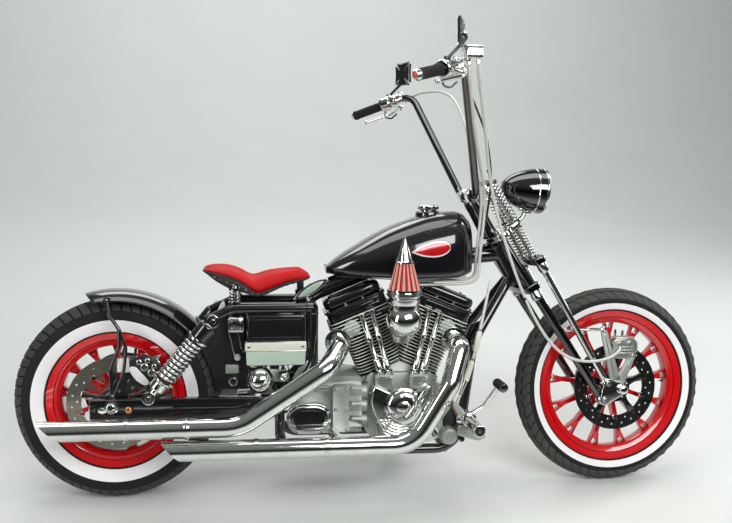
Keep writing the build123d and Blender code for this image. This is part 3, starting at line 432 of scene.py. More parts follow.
class Shade:
    """A node's output that takes part in arithmetic: each operator adds the Math node for it."""

    def __init__(self, tree, socket=None):
        self.tree = tree
        self.socket = socket

    def node(self, kind, settings=None, inputs=None, out=0):
        """Adds a node: its settings first, then the values, colours or links of its sockets."""
        made = self.tree.nodes.new("ShaderNode" + kind)
        for name, value in (settings or {}).items():
            if name == "stops":
                ramp = made.color_ramp.elements
                while len(ramp) < len(value):
                    ramp.new(1)
                for element, (position, colour) in zip(ramp, value):
                    element.position = position
                    element.color = (*colour, 1)
            else:
                setattr(made, name, value)
        for name, value in (inputs or {}).items():
            if isinstance(value, Shade):
                self.tree.links.new(value.socket, made.inputs[name])
            else:
                made.inputs[name].default_value = (*value, 1.0) if isinstance(value, tuple) else value
        return Shade(self.tree, made.outputs[out])

    def math(self, operation, first, second=0.0):
        return self.node("Math", {"operation": operation}, {0: first, 1: second})

    def __add__(self, other):
        return self.math("ADD", self, other)

    def __radd__(self, other):
        return self.math("ADD", other, self)

    def __sub__(self, other):
        return self.math("SUBTRACT", self, other)

    def __rsub__(self, other):
        return self.math("SUBTRACT", other, self)

    def __mul__(self, other):
        return self.math("MULTIPLY", self, other)

    def __rmul__(self, other):
        return self.math("MULTIPLY", other, self)

    def __pow__(self, other):
        return self.math("POWER", self, other)

    def clipped(self, low, high):
        """The share of the way from low to high, kept between 0 and 1."""
        return self.node("MapRange", {"clamp": True}, {"Value": self, "From Min": low, "From Max": high})

    def place(self):
        return self.node("TexCoord", out="Object")

    def part(self, axis):
        """X, Y or Z of a place."""
        return self.node("SeparateXYZ", {}, {0: self}, axis)

    def noise(self, scale, detail=3.0, rough=0.55):
        return self.node("TexNoise", {},
            {"Vector": self.place(), "Scale": scale, "Detail": detail, "Roughness": rough}, "Fac")

    def cells(self, scale):
        return self.node("TexVoronoi", {"feature": "SMOOTH_F1"}, {"Vector": self.place(), "Scale": scale},
            "Distance")

    def mix(self, share, first, second):
        """Colour between two colours."""
        return self.node("Mix", {"data_type": "RGBA"}, {0: share, 6: first, 7: second}, 2)

    def bump(self, height, depth, strength=1.0):
        return self.node("Bump", {}, {"Height": height, "Distance": depth, "Strength": strength}, "Normal")


def dimmed(base, share):
    """Colour made darker."""
    return tuple(share * part for part in base)


def surface(name, build):
    """Material whose build function returns its shader's sockets from a blank Shade."""
    material = bpy.data.materials.new(name)
    material.use_nodes = True
    tree = material.node_tree
    tree.nodes.clear()
    blank = Shade(tree)
    shader = blank.node("BsdfPrincipled", {}, build(blank))
    out = tree.nodes.new("ShaderNodeOutputMaterial")
    tree.links.new(shader.socket, out.inputs["Surface"])
    return material


def gloss_paint(base, dust=(0.05, 0.05, 0.05), rough=0.1):
    """Lacquered paint with a faint orange peel, swirl marks and a little dust."""
    def build(s):
        swirl = s.noise(35, 4)
        dusty = s.noise(9, 5, 0.7).clipped(0.55, 0.85) * 0.18
        return {"Base Color": s.mix(dusty, base, dust), "Roughness": rough + swirl * 0.08 + dusty * 0.5,
            "Coat Weight": 1.0, "Coat Roughness": 0.04, "Normal": s.bump(s.noise(420, 1), 0.00004, 0.5)}
    return build


def plated(base, rough=0.05, spread=0.1):
    """Polished plating with faint smears and fine polishing scratches."""
    def build(s):
        smear = s.noise(22, 5, 0.65)
        fine = s.noise(700, 2)
        tone = s.mix(smear.clipped(0.35, 0.75), base, dimmed(base, 0.86))
        return {"Base Color": tone, "Metallic": 1.0, "Roughness": rough + smear.clipped(0.4, 0.8) * spread
            + fine * 0.015}
    return build


def cast_metal(base, grain=900, depth=0.00012, rough=0.42):
    """Sand-cast metal: fine grain, darker in the hollows of the grain."""
    def build(s):
        fine = s.noise(grain, 4, 0.6)
        stain = s.noise(14, 5, 0.6).clipped(0.45, 0.8)
        return {"Base Color": s.mix(stain * 0.55 + fine * 0.25, base, dimmed(base, 0.45)), "Metallic": 0.85,
            "Roughness": rough + fine * 0.25, "Normal": s.bump(fine, depth)}
    return build


def machined_edge(s):
    """Bare edges turned bright, with tool marks along them."""
    marks = s.noise(1400, 2)
    return {"Base Color": s.mix(marks, (0.84, 0.89, 0.8), (0.94, 0.97, 0.9)), "Metallic": 0.0,
        "Roughness": 0.3 + marks * 0.18}


def ground_disc(s):
    """Brake disc's rubbed face, with rings from the pads."""
    marks = s.noise(1100, 3)
    heat = s.noise(12, 3)
    return {"Base Color": s.mix(heat, (0.3, 0.3, 0.25), (0.5, 0.51, 0.45)), "Metallic": 1.0,
        "Roughness": 0.22 + marks * 0.2, "Normal": s.bump(marks, 0.00005)}


def rubber(base, grain=600):
    """Tyre rubber, dusty grey in patches."""
    def build(s):
        dust = s.noise(11, 5, 0.65).clipped(0.5, 0.85)
        fine = s.noise(grain, 3)
        return {"Base Color": s.mix(dust * 0.35, base, tuple(part * 2.0 + 0.008 for part in base)),
            "Roughness": 0.6 + fine * 0.12 + dust * 0.2, "Specular IOR Level": 0.3,
            "Normal": s.bump(fine, 0.00008)}
    return build


def white_rubber(s):
    """Whitewall, a little yellowed and rubbed grey in places."""
    grime = s.noise(7, 6, 0.7).clipped(0.5, 0.9)
    fine = s.noise(500, 3)
    return {"Base Color": s.mix(grime * 0.25, (0.93, 0.91, 0.92), (0.66, 0.63, 0.58)),
        "Roughness": 0.42 + fine * 0.15, "Normal": s.bump(fine, 0.00006)}


def hide(base, shade, sheen):
    """Leather: pebbled grain, creases and worn patches."""
    def build(s):
        pebble = s.cells(520)
        crease = s.noise(60, 5, 0.7)
        worn = s.noise(8, 4, 0.6).clipped(0.35, 0.75)
        return {"Base Color": s.mix(worn * 0.6 + pebble * 0.3, base, shade),
            "Roughness": 0.5 + pebble * 0.2 + crease * 0.12, "Sheen Weight": sheen, "Specular IOR Level": 0.3,
            "Normal": s.bump(pebble * 0.7 + crease * 0.5, 0.00035)}
    return build


def braided(s):
    """Woven steel sleeve under a clear skin, drawn along the hose's own length."""
    uv = s.node("UVMap", {"uv_map": "UVMap"})
    along, round_it = uv.part("X"), uv.part("Y")
    first = s.math("SINE", (along * 260 + round_it * 6) * tau)
    second = s.math("SINE", (along * 260 - round_it * 6) * tau)
    weave = s.math("MAXIMUM", first, second).clipped(-0.4, 1.0)
    return {"Base Color": s.mix(weave, (0.5, 0.52, 0.48), (0.95, 0.96, 0.92)), "Metallic": 0.25,
        "Roughness": 0.32, "Coat Weight": 0.5, "Normal": s.bump(weave, 0.0004)}


def plain(base, rough=0.4, metallic=0.0, grain=600, depth=0.00005, **more):
    """Moulded or painted stuff with a fine grain."""
    def build(s):
        fine = s.noise(grain, 3)
        wide = s.noise(15, 4)
        return {"Base Color": s.mix(wide, base, dimmed(base, 0.8)), "Metallic": metallic,
            "Roughness": rough + fine * 0.1, "Normal": s.bump(fine, depth), **more}
    return build


def clear_glass(s):
    return {"Base Color": (0.95, 0.97, 0.97), "Roughness": 0.02, "Transmission Weight": 1.0, "IOR": 1.45,
        "Alpha": 0.55 + s.noise(20) * 0.02}


def tank_paint(s):
    """Black lacquer with a small plain teardrop on each flank: red, with a pale outline."""
    uv = s.node("UVMap", {"uv_map": "UVMap"})
    along, height = uv.part("X"), uv.part("Y")
    from_line = s.math("ABSOLUTE", height - 0.44 - (along - 0.7) * 0.25)
    share = along.clipped(0.56, 0.83)
    width = share ** 0.9 * (1 - share) ** 0.5 * 0.29
    red = s.math("LESS_THAN", from_line, width - 0.022)
    cream = s.math("LESS_THAN", from_line, width) * (1 - red)
    base = s.mix(red, (0.008, 0.008, 0.01), (0.55, 0.006, 0.01))
    return {"Base Color": s.mix(cream, base, (0.85, 0.78, 0.74)), "Roughness": 0.08 + s.noise(30, 4) * 0.08,
        "Coat Weight": 1.0, "Coat Roughness": 0.03, "Normal": s.bump(s.noise(420, 1), 0.00004, 0.5)}


# What each finish is called, and how it is built
FINISHES = {
    "satin_black": plain((0.016, 0.016, 0.017), 0.32),
    "tank_black": tank_paint,
    "dark_chrome": plated((0.13, 0.135, 0.13), 0.04, 0.06),
    "steel": plated((0.55, 0.56, 0.54), 0.2, 0.15),
    "polished_cast": cast_metal((0.6, 0.63, 0.58), 500, 0.00003, 0.16),
    "fin_black": plain((0.012, 0.013, 0.012), 0.4, 0.1, 900, 0.0001),
    "machined": machined_edge,
    "disc": ground_disc,
    "dark_disc": plated((0.06, 0.06, 0.06), 0.25, 0.2),
    "tyre": rubber((0.007, 0.007, 0.007)),
    # Painted light: both treads get a lighter rubber than the sidewalls, and the front tread a lighter one
    # than the rear, standing in for light on the treads
    "tread": rubber((0.055, 0.058, 0.052), 400),
    "rear_tread": rubber((0.045, 0.047, 0.042), 400),
    "whitewall": white_rubber,
    "rubber": rubber((0.012, 0.012, 0.012), 900),
    "black_leather": hide((0.016, 0.016, 0.017), (0.03, 0.03, 0.03), 0.1),
    "thread": plain((0.55, 0.5, 0.42), 0.6),
    "braid": braided,
    "copper": plated((0.72, 0.35, 0.16), 0.15, 0.15),
    "pale_plate": plain((0.56, 0.7, 0.58), 0.28, 0.1, 700, 0.00003),
    "pale_band": plain((0.86, 0.9, 0.77), 0.25, 0.1, 700, 0.00003),
    "pleat_red": plain((0.62, 0.008, 0.006), 0.7, 0.0, 1200, 0.0002),
    "pleat_cream": plain((0.78, 0.66, 0.55), 0.7, 0.0, 1200, 0.0002),
    "amber": plain((0.62, 0.1, 0.03), 0.25),
    "glass": clear_glass,
    "reflector": plated((0.85, 0.86, 0.86), 0.08, 0.03),
    "mirror_glass": plated((0.9, 0.91, 0.92), 0.01, 0.0),
    "brown_rod": plain((0.16, 0.06, 0.03), 0.35),
    "white_paint": gloss_paint((0.78, 0.78, 0.76), (0.5, 0.5, 0.48), 0.2),
    "soot": plain((0.008, 0.008, 0.008), 0.7),
}


# Finishes whose colour comes from the scene's chopper_colours
CHOSEN = {
    "gloss_black": gloss_paint,
    "red_lacquer": lambda base: gloss_paint(base, (0.4, 0.01, 0.01), 0.14),
    "chrome": plated,
    "cast": cast_metal,
    "red_leather": lambda base: hide(base, dimmed(base, 0.56), 0.0),
}


def finish(name):
    """The material of a finish, made when it is first asked for."""
    label = "look_" + name
    if label in bpy.data.materials:
        return bpy.data.materials[label]
    if name in CHOSEN:
        return surface(label, CHOSEN[name](tuple(getattr(bpy.context.scene.chopper_colours, name))))
    return surface(label, FINISHES[name])


# Wheels and brakes


def crown(y, tyre_r, half):
    """Tread's radius at a distance from the tyre's middle."""
    return tyre_r - 36 * (abs(y) / half) ** 2.15


TREAD_DEPTH = 5


def carcass(tyre_r, rim_r, half, rim_half, white_to):
    """Tyre's body: beads in the rim, sidewalls with a raised white band, and the floor of the tread."""
    lip = rim_r + 0.6
    side = [(rim_r - 9, rim_half - 14), (lip, rim_half - 8), (lip, rim_half + 1.5), (rim_r + 5, rim_half + 4),
        (rim_r + 5.6, rim_half + 5.5), (rim_r + (white_to - rim_r) * 0.5, half - 2.2), (white_to, half - 0.4),
        (white_to + 0.8, half - 1.6), (white_to + 4, half - 1.2), (white_to + 12, half - 2.5),
        (crown(half * 0.93, tyre_r, half) - 4, half * 0.935)]
    side += [(crown(half * share, tyre_r, half) - TREAD_DEPTH, half * share)
        for share in (0.84, 0.7, 0.55, 0.38, 0.2)]
    profile = side + [(tyre_r - TREAD_DEPTH, 0)] + [(r, -y) for r, y in reversed(side)]
    return turned(profile, steps=128, closed=True)


def tread_profile(low, high, tyre_r, half, steps=5):
    """Outline of a strip of tread from one side distance to another, with its foot sunk in the tyre."""
    places = [low + (high - low) * step / steps for step in range(steps + 1)]
    outer = [(crown(y, tyre_r, half), y) for y in places]
    inner = [(crown(y, tyre_r, half) - TREAD_DEPTH - 1, y) for y in places]
    return outer + inner[::-1]


def zigzag_tread(tyre_r, half, turns=50, swing=3.2):
    """Three ribs whose edges run in zigzags round the tyre, and slanted blocks on its shoulders."""
    edges = [-0.46, -0.24, -0.13, 0.13, 0.24, 0.46]
    ribs = []
    for low, high in zip(edges[::2], edges[1::2]):
        rib = turned(tread_profile(low * half, high * half, tyre_r, half, 3), steps=2 * turns, closed=True)
        for vert in rib.verts:
            step = round(atan2(vert.co.y, vert.co.x) / tau * 2 * turns)
            vert.co.z += swing if step % 2 else -swing
        ribs.append(rib)
    return ribs + block_tread(tyre_r, half, 56, 0.17, 0.2, ((-0.92, -0.58), (0.58, 0.92)))


def block_tread(tyre_r, half, count=60, gap=0.17, lean=0.1,
        bands=((-0.9, -0.34), (-0.29, 0.29), (0.34, 0.9))):
    """Blocks across the tyre with slanted cuts between them, and two grooves round it."""
    blocks = []
    for low, high in bands:
        strip = swept(tread_profile(low * half, high * half, tyre_r, half), tau / count * (1 - gap), 2)
        for vert in strip.verts:
            vert.co = Matrix.Rotation(lean * abs(vert.co.z) / half, 3, "Z") @ vert.co
        blocks += ring_of(soften(strip, 0.7, 1, 40), count, 0, 0.5 * lean * (low > 0))
    return blocks


def rim_ring(rim_r, half, depth=44):
    """Rim with a deep inside wall, two fine grooves and rolled flanges."""
    side = [(rim_r - depth, half - 24), (rim_r - depth + 2, half - 17), (rim_r - depth + 9, half - 11),
        (rim_r - 24, half - 7), (rim_r - 23.4, half - 8.6), (rim_r - 21.6, half - 8.6),
        (rim_r - 21, half - 5.5), (rim_r - 9, half - 2.2), (rim_r - 3, half - 0.6), (rim_r - 0.6, half),
        (rim_r, half - 1.6), (rim_r, half - 6.4), (rim_r - 12, half - 8.6), (rim_r - 32, half - 26)]
    profile = side + [(r, -y) for r, y in reversed(side)]
    return turned(profile, steps=128, closed=True)


def spokes(rim_r, hub_r, depth=44, thick=13, swell=1.5):
    """Straight spokes, waisted in the middle and flared into the rim."""
    end = rim_r - depth + 2.5
    start = hub_r - 5
    outline = [(-10, start), (-7.5, start + 26), (-7, end - 34), (-9.5, end - 12), (-20, end), (20, end),
        (9.5, end - 12), (7, end - 34), (7.5, start + 26), (10, start)]
    form = plate(rounded(outline, 11, 3, closed=True), -thick, thick, edge=3.4, segments=3)
    for vert in form.verts:
        share = (end - vert.co.z) / (end - start)
        vert.co.y *= 1 + (swell - 1) * max(0, share) ** 2
    return ring_of(moved(form, ALONG_Y.inverted()), SPOKES)


def hub_form(hub_r, hub_half, bore_r):
    """Hub, thick in the middle and slimmer at both ends, with a bore for the axle."""
    side = [(hub_r, hub_half * 0.42), (hub_r * 0.66, hub_half * 0.6), (hub_r * 0.62, hub_half - 3),
        (hub_r * 0.56, hub_half), (bore_r, hub_half)]
    return collar([(r, -y) for r, y in reversed(side)] + side, 3)


def spoke_bolts(radius, height):
    """Small bright screws near the outer end of every spoke, on both faces."""
    under = at(0, 0, -height) @ tilt(180, "X")
    return (screw_circle(at(0, 0, height), SPOKES, radius, 4.2, 3.5, -pi / 2)
        + screw_circle(under, SPOKES, radius, 4.2, 3.5, pi / 2))


def perforated(inner_r, outer_r, rows, count, hole_r, thick):
    """Flat ring with round holes through it: the holes of each row stand between those of the next."""
    form = bmesh.new()
    radii = [inner_r, rows[0] - hole_r - 3, *(row + hole_r + 3 for row in rows), outer_r]
    verts, edges = open_line(form, [(radius, 0, 0) for radius in radii])
    bmesh.ops.spin(form, geom=verts + edges, axis=(0, 0, 1), angle=tau, steps=2 * count, use_merge=True)
    bmesh.ops.remove_doubles(form, verts=form.verts, dist=0.01)
    cells = []
    for face in form.faces:
        centre = face.calc_center_median()
        band = next((n for n, row in enumerate(rows) if abs(centre.length - row) < hole_r + 2), None)
        sector = int((atan2(centre.y, centre.x) % tau) / tau * 2 * count)
        if band is not None and (sector + band) % 2 == 0:
            cells.append(face)
    bmesh.ops.inset_individual(form, faces=cells, thickness=1.5)
    for face in cells:
        centre = face.calc_center_median()
        ring = bmesh.ops.subdivide_edges(form, edges=face.edges[:], cuts=2)["geom_inner"]
        for vert in set(only(BMVert, ring)) | set(face.verts):
            vert.co = centre + (vert.co - centre).normalized() * hole_r
    bmesh.ops.delete(form, geom=cells, context="FACES_ONLY")
    bmesh.ops.recalc_face_normals(form, faces=form.faces)
    bmesh.ops.solidify(form, geom=form.faces[:], thickness=thick)
    bmesh.ops.translate(form, vec=(0, 0, thick / 2), verts=form.verts)
    bmesh.ops.recalc_face_normals(form, faces=form.faces)
    return form


def disc_forms(radius=146):
    """Perforated disc, its carrier with five arms, and the buttons between them."""
    ring = perforated(radius - 46, radius, [radius - 33, radius - 14], 22, 3.5, 5)
    arm = plate([(-15, 44), (-9, 70), (-13, radius - 42), (13, radius - 42), (9, 70), (15, 44)], -4, 4, 6,
        1.2)
    arms = ring_of(moved(arm, ALONG_Y.inverted()), 5)
    boss = turned([(31, -6), (50, -6), (52, -4), (52, 4), (50, 6), (31, 6)], closed=True)
    sleeve = turned([(31, 0), (44, 0), (44, 30), (31, 30)], steps=48, closed=True)
    buttons = ring_of(turned([(0, -5.5), (7, -5.5), (8, -4.5), (8, 4.5), (7, 5.5), (0, 5.5)], steps=20), 5,
        radius - 44, pi / 2)
    screws = screw_circle(at(0, 0, -6) @ tilt(180, "X"), 5, 41, 4.5, 4, 0.3)
    return ring, arms + [boss, sleeve], buttons + screws


def radius_finish(centre, low, high, between, outside):
    """Finish by a face's distance from an axle: one for what lies between two radii, one for the rest."""
    def look(face):
        middle = face.calc_center_median()
        return between if low < hypot(middle.x - centre.x, middle.z - centre.z) < high else outside
    return look


class CHOPPER_OT_tyres(Operator):
    """Tyres with white sidewalls: blocks across the rear one, zigzag ribs round the front one"""
    bl_idname = "chopper.tyres"
    bl_label = "Tyres"

    def execute(self, context):
        size = context.scene.chopper_sizes
        rear_tread = block_tread(REAR_TYRE_R, REAR_TYRE_HALF)
        front_tread = zigzag_tread(FRONT_TYRE_R, FRONT_TYRE_HALF)
        # Each row: end, axle, tyre's and rim's radius, half widths of both, whitewall, tread, its finish
        rows = [("rear", REAR_AXLE, REAR_TYRE_R, REAR_RIM_R, REAR_TYRE_HALF, REAR_RIM_HALF, size.rear_white,
            rear_tread, "rear_tread"), ("front", FRONT_AXLE, FRONT_TYRE_R, FRONT_RIM_R, FRONT_TYRE_HALF,
            FRONT_RIM_HALF, size.front_white, front_tread, "tread")]
        for end, axle, tyre_r, rim_r, half, rim_half, white, tread, tread_look in rows:
            body = carcass(tyre_r, rim_r, half, rim_half, rim_r + white)
            look = radius_finish(axle, rim_r + 5.2, rim_r + white - 0.2, "whitewall", "tyre")
            piece(end + "_tyre", [(placed(body, across(axle)), look),
                (placed(tread, across(axle)), tread_look)], end + "_wheel")
        return {"FINISHED"}


class CHOPPER_OT_wheels(Operator):
    """Red cast wheels with thirteen straight spokes"""
    bl_idname = "chopper.wheels"
    bl_label = "Wheels"

    def execute(self, context):
        # Each row: end, rim's radius, half width, hub's radius, half length, its bore, axle
        rows = [("rear", REAR_RIM_R, REAR_RIM_HALF, 58, 82, 11.1, REAR_AXLE),
            ("front", FRONT_RIM_R, FRONT_RIM_HALF, 44, 42, 10.1, FRONT_AXLE)]
        for end, rim_r, half, hub_r, hub_half, bore, axle in rows:
            look = radius_finish(axle, rim_r - 23.6, rim_r - 21.4, "gloss_black", "red_lacquer")
            caps = [turned([(bore, 0), (hub_r * 0.5, 0), (hub_r * 0.54, -1), (hub_r * 0.54, -4), (bore, -4)],
                at(0, 0, hub_half * side) @ tilt(0 if side > 0 else 180, "X"), 40, closed=True)
                for side in (-1, 1)]
            stem = rod((rim_r - 30, 0, half - 16), (rim_r - 52, 0, half - 28), 3.5)
            groups = [(rim_ring(rim_r, half), look), (spokes(rim_r, hub_r), "red_lacquer"),
                (hub_form(hub_r, hub_half, bore), "red_lacquer"), (caps, "chrome"),
                (spoke_bolts(rim_r - 56, 12.6), "chrome"), (stem, "steel")]
            piece(end + "_wheel", [(placed(forms, across(axle)), finish_name)
                for forms, finish_name in groups], end + "_wheel")
        return {"FINISHED"}


class CHOPPER_OT_discs(Operator):
    """Perforated brake discs, silver behind and dark in front, and the belt's pulley"""
    bl_idname = "chopper.discs"
    bl_label = "Brake discs"

    def execute(self, context):
        # Each row: end, axle, the disc's Y, finishes of its rubbed face and its carrier
        rows = [("rear", REAR_AXLE, -98, "disc", "chrome"),
            ("front", FRONT_AXLE, -62, "dark_disc", "gloss_black")]
        for end, axle, y, face_look, carrier_look in rows:
            ring, carrier, buttons = disc_forms()
            here = across(axle + Vector((0, y, 0)))
            piece(end + "_disc", [(placed(ring, here), face_look), (placed(carrier, here), carrier_look),
                (placed(buttons, here), "chrome")], end + "_wheel")
        here = across(REAR_AXLE + Vector((0, 82, 0)))
        body = collar([(30, 0.4), (118.6, 0.4), (118.6, 25), (108, 25), (104, 11), (30, 11)], 1.5, None, 96)
        teeth = ring_of(block((3.4, 5.2, 23), (0, 0, 13), 0.8, 1), 66, 117.2)
        caps = ring_of(turned([(0, 11), (17, 11), (19, 13), (19, 15), (16, 16), (0, 16)], steps=28), 5, 72)
        piece("rear_pulley", [(placed(body, here), "polished_cast"), (placed(teeth, here), "cast"),
            (placed(caps, here), "chrome")], "rear_wheel")
        return {"FINISHED"}


# Engine


CLUTCH, PULLEY = Vector((664, 0, 292)), Vector((640, 0, 300))


def bore_place(side):
    """Place of one cylinder: Z along its bore from the crank, X across it. side is -1 behind, 1 in front."""
    return at(*CRANK) @ Matrix.Rotation(side * V_HALF, 4, "Y")


def level_plate(size_x, size_y, low, high, corner, edge=0.6, segments=1, bulge=0):
    """Rounded rectangle lying in X and Y, from one height to another."""
    x, y = size_x / 2, size_y / 2
    outline = [(-x, -y), (x, -y), (x, y), (-x, y)]
    if bulge:
        outline = [(-x, -y), (0, -y - bulge), (x, -y), (x + bulge, 0), (x, y), (0, y + bulge), (-x, y),
            (-x - bulge, 0)]
    return plate(outline, 0, high - low, corner, edge, segments, at(0, 0, high) @ ALONG_Y.inverted()
        @ tilt(180, "Z"))


def edge_bright(axis):
    """Bright on the turned edges of a fin, black on its flats."""
    return lambda face: "fin_black" if abs(face.normal.dot(axis)) > 0.55 else "machined"


def fin_stack(size_x, size_y, low, pitch, count, thick, corner, taper=0.0):
    """Level fins one above the other, those at both ends smaller where there is a taper."""
    fins = []
    for number in range(count):
        grown = 1 - taper * abs(number / max(1, count - 1) - 0.5)
        base = low + number * pitch
        fins.append(level_plate(size_x * grown, size_y * grown, base, base + thick, corner, 0.5, 1, 3))
    return fins


class CHOPPER_OT_cylinders(Operator):
    """Cylinders and heads: black fins with bright turned edges"""
    bl_idname = "chopper.cylinders"
    bl_label = "Cylinders and heads"

    def execute(self, context):
        count = context.scene.chopper_sizes.fins
        barrels, heads = [], []
        for side in (-1, 1):
            place = bore_place(side)
            axis = place.to_3x3() @ Vector((0, 0, 1))
            core = turned([(0, DECK), (56, DECK), (56, 284), (0, 284)], place, 48)
            fins = fin_stack(150, 150, DECK + 8, 126 / (count - 1), count, 3.4, 40)
            foot = level_plate(150, 150, DECK, DECK + 5, 30, 1, 2)
            stays = [rod((x, y, DECK), (x, y, 290), 5.5, edge=0.5, steps=12) for x in (-52, 52)
                for y in (-52, 52)]
            for form in fins + [foot]:
                moved(form, place)
                cut_away(form, (CRANK.x + 1.5 * side, 0, 0), (-side, 0, 0))
            barrels += [(core, "fin_black"), (fins, edge_bright(axis)), (foot, "gloss_black"),
                (placed(stays, place), "steel")]
            lump = level_plate(168, 122, 285, 346, 26, 3, 3)
            ribs = fin_stack(214, 162, 287, 56 / 5, 6, 4, 30, 0.04)
            plug = [rod((60, -60, 318), (78, -86, 326), 8, 6.5), rod((78, -86, 326), (96, -110, 334), 5.5, 4)]
            port = rod((side * 40, -60, 312), (side * 40, -82, 312), 27, edge=3, steps=32)
            heads += [(placed(lump, place), "fin_black"), (placed(ribs, place), edge_bright(axis)),
                (placed(plug, place), "satin_black"), (placed(port, place), "cast")]
        piece("cylinders", barrels)
        piece("cylinder_heads", heads, name="heads_dressed")
        return {"FINISHED"}


def rocker_box():
    """Black rocker box in three layers with a domed lid, drawn on a cylinder's own axes."""
    low = level_plate(202, 148, 346.5, 380, 26, 3, 3)
    flange = level_plate(212, 158, 380, 388, 30, 2, 3)
    lid = level_plate(196, 142, 388, 426, 34, 14, 5)
    brow = level_plate(150, 70, 420, 429, 24, 3, 3)
    side_panel = block((120, 6, 20), (0, -74, 363), 3, 3)
    screws = [cap_screw(at(x, y, 388), 5, 7) for x in (-92, -30, 30, 92) for y in (-68, 68)]
    screws += [cap_screw(at(x, 22, 428.5), 4.5, 4) for x in (-62, 62)]
    return [low, flange, lid, brow, side_panel], screws


class CHOPPER_OT_rocker_boxes(Operator):
    """Black rocker boxes with bright screws, and the twin pushrod tubes below them"""
    bl_idname = "chopper.rocker_boxes"
    bl_label = "Rocker boxes and pushrod tubes"

    def execute(self, context):
        parts = []
        for side in (-1, 1):
            body, screws = rocker_box()
            place = bore_place(side)
            parts += [(placed(body, place), "gloss_black"), (placed(screws, place), "chrome")]
        piece("rocker_boxes", parts)
        # Each row: side of its cylinder, place across it, its foot's X
        rows = [(-1, 4, 838), (-1, 40, 866), (1, -40, 950), (1, -4, 978)]
        tubes, seals = [], []
        for side, across_it, foot_x in rows:
            head = bore_place(side) @ Vector((across_it, -92, 345))
            foot = Vector((foot_x, -112, 409))
            run = (head - foot).normalized()
            length = (head - foot).length
            profile = [(0, 0), (13, 0), (14, 2), (14, 5), (11.5, 8), (11.5, length * 0.2),
                (9.5, length * 0.22), (8, length * 0.24), (8, length * 0.52), (10.5, length * 0.53),
                (11.5, length * 0.55), (11.5, length * 0.62), (9.5, length * 0.64), (8.5, length * 0.66),
                (8.5, length - 12), (12, length - 9), (12, length), (0, length)]
            place = facing(foot, run)
            tubes.append(turned(profile, place, 32))
            for height in (2, length - 10):
                seals.append(turned([(0, height), (14.6, height), (14.6, height + 3), (0, height + 3)], place,
                    32))
        tappets = [block((58, 38, 48), (x, -111, 380), 7, 4) for x in (852, 964)]
        feet = [rod((x, -112, 400), (x, -112, 410), 13, 12, 1.5) for _, _, x in rows]
        bolts = [cap_screw(rightward((x + dx, -130, 392)), 4, 4) for x in (852, 964) for dx in (-22, 22)]
        link = rod((822, -126, 470), (862, -126, 452), 2.6, steps=12)
        piece("pushrod_tubes", [(tubes + feet, "chrome"), (seals, "rubber"), (bolts, "chrome"),
            (link, "steel")], name="pushrods_dressed")
        piece(None, [(tappets, "polished_cast")], name="tappet_blocks")
        return {"FINISHED"}


class CHOPPER_OT_crankcase(Operator):
    """Crankcase, gearbox and their covers: nested arcs round the cam cover's cap, a slotted lid behind"""
    bl_idname = "chopper.crankcase"
    bl_label = "Crankcase and covers"

    def execute(self, context):
        case = casting("crankcase", 2.5, 3, 20)
        screws = screws_at(-96, ((806, 226), (1012, 226), (796, 376), (1020, 376), (870, 176), (946, 176)))
        webs = [rod((x, -97, 186), (x + dx, -97, 240), 6, edge=3, steps=16)
            for x, dx in ((836, -10), (978, 12))]
        piece("crankcase", [(case, "cast"), (screws, "steel"), (webs, "cast")])

        # Each row: height of the top, then the plate's two Ys, corner, edge and segments
        chest, lip = (plate([(812, top), (880, top - 36), (936, top - 36), (1004, top), (1012, 300),
            (962, 202), (854, 202), (804, 300)], *rest)
            for top, *rest in ((380, -148, -96.4, 26, 9, 5), (378, -112, -97, 24, 3, 2)))
        face = rightward((908, -148, 306))
        cap = turned([(0, 26), (30, 26), (44, 23), (50, 18), (52, 10), (58, 8), (60, 0), (0, 0)], face, 72)
        dome = turned([(0, 31), (10, 30.4), (18, 28.5), (22, 26), (0, 26)], face, 40)
        arcs = []
        for number in range(7):
            radius = 66 + number * 9.5
            section = [(radius - 2.8, 0), (radius - 2.2, 3.2), (radius, 4.4), (radius + 2.2, 3.2),
                (radius + 2.8, 0)]
            reach = radians(66 - number * 7)
            arc = moved(swept(section, 2 * reach, 24), face @ Matrix.Rotation(-pi / 2 - reach, 4, "Z"))
            arcs.append(cut_away(arc, (0, 0, 207), (0, 0, -1)))
        cap_bolts = screw_circle(face @ at(0, 0, 24.4), 3, 36, 4, 3, pi / 2)
        rim_bolts = screws_at(-112, ((806, 340), (1010, 340), (826, 246), (990, 246)))
        piece("cam_cover", [([chest, lip], "chrome"), ([cap, dome], "chrome"), (arcs, "chrome"),
            (cap_bolts + rim_bolts, "steel")])

        case = casting("gearbox", 2, 3, 24)
        ribs = [rod((742, -96, z), (800, -96, z), 24.5, edge=6, steps=32) for z in (252, 300, 346)]
        lid_bolts = [cap_screw(rightward((x, -146, z)), 5, 5) for x in (692, 728) for z in (233, 300, 364)]
        plug = rod((600, -109, 384), (600, -118, 384), 13, edge=2, steps=6)
        fins = [block((44, 6, 5), (650, -110, z), 2, 2) for z in (352, 362, 372)]
        piece("gearbox", [(case, "cast"), (ribs, "cast"), (lid_bolts, "chrome"), (plug, "steel"),
            (fins, "cast")])

        middle = at(608, 0, 269)
        base = plate(slot_outline(142, 98, 14), -142, -108.4, 0, 3, 3, middle)
        lid = plate(slot_outline(128, 84, 14), -150, -141, 0, 4, 4, middle)
        dish = plate(slot_outline(100, 56, 14), -150.6, -149, 0, 0.4, 1, middle)
        bolts = []
        for number in range(8):
            angle = tau * (number + 0.5) / 8
            x = 608 + copysign(22, cos(angle)) + 43 * cos(angle)
            bolts.append(cap_screw(rightward((x, -142, 269 + 43 * sin(angle))), 4.6, 6))
        piece("release_cover", [([base, lid], "chrome"), (dish, "dark_chrome"), (bolts, "steel")])
        return {"FINISHED"}


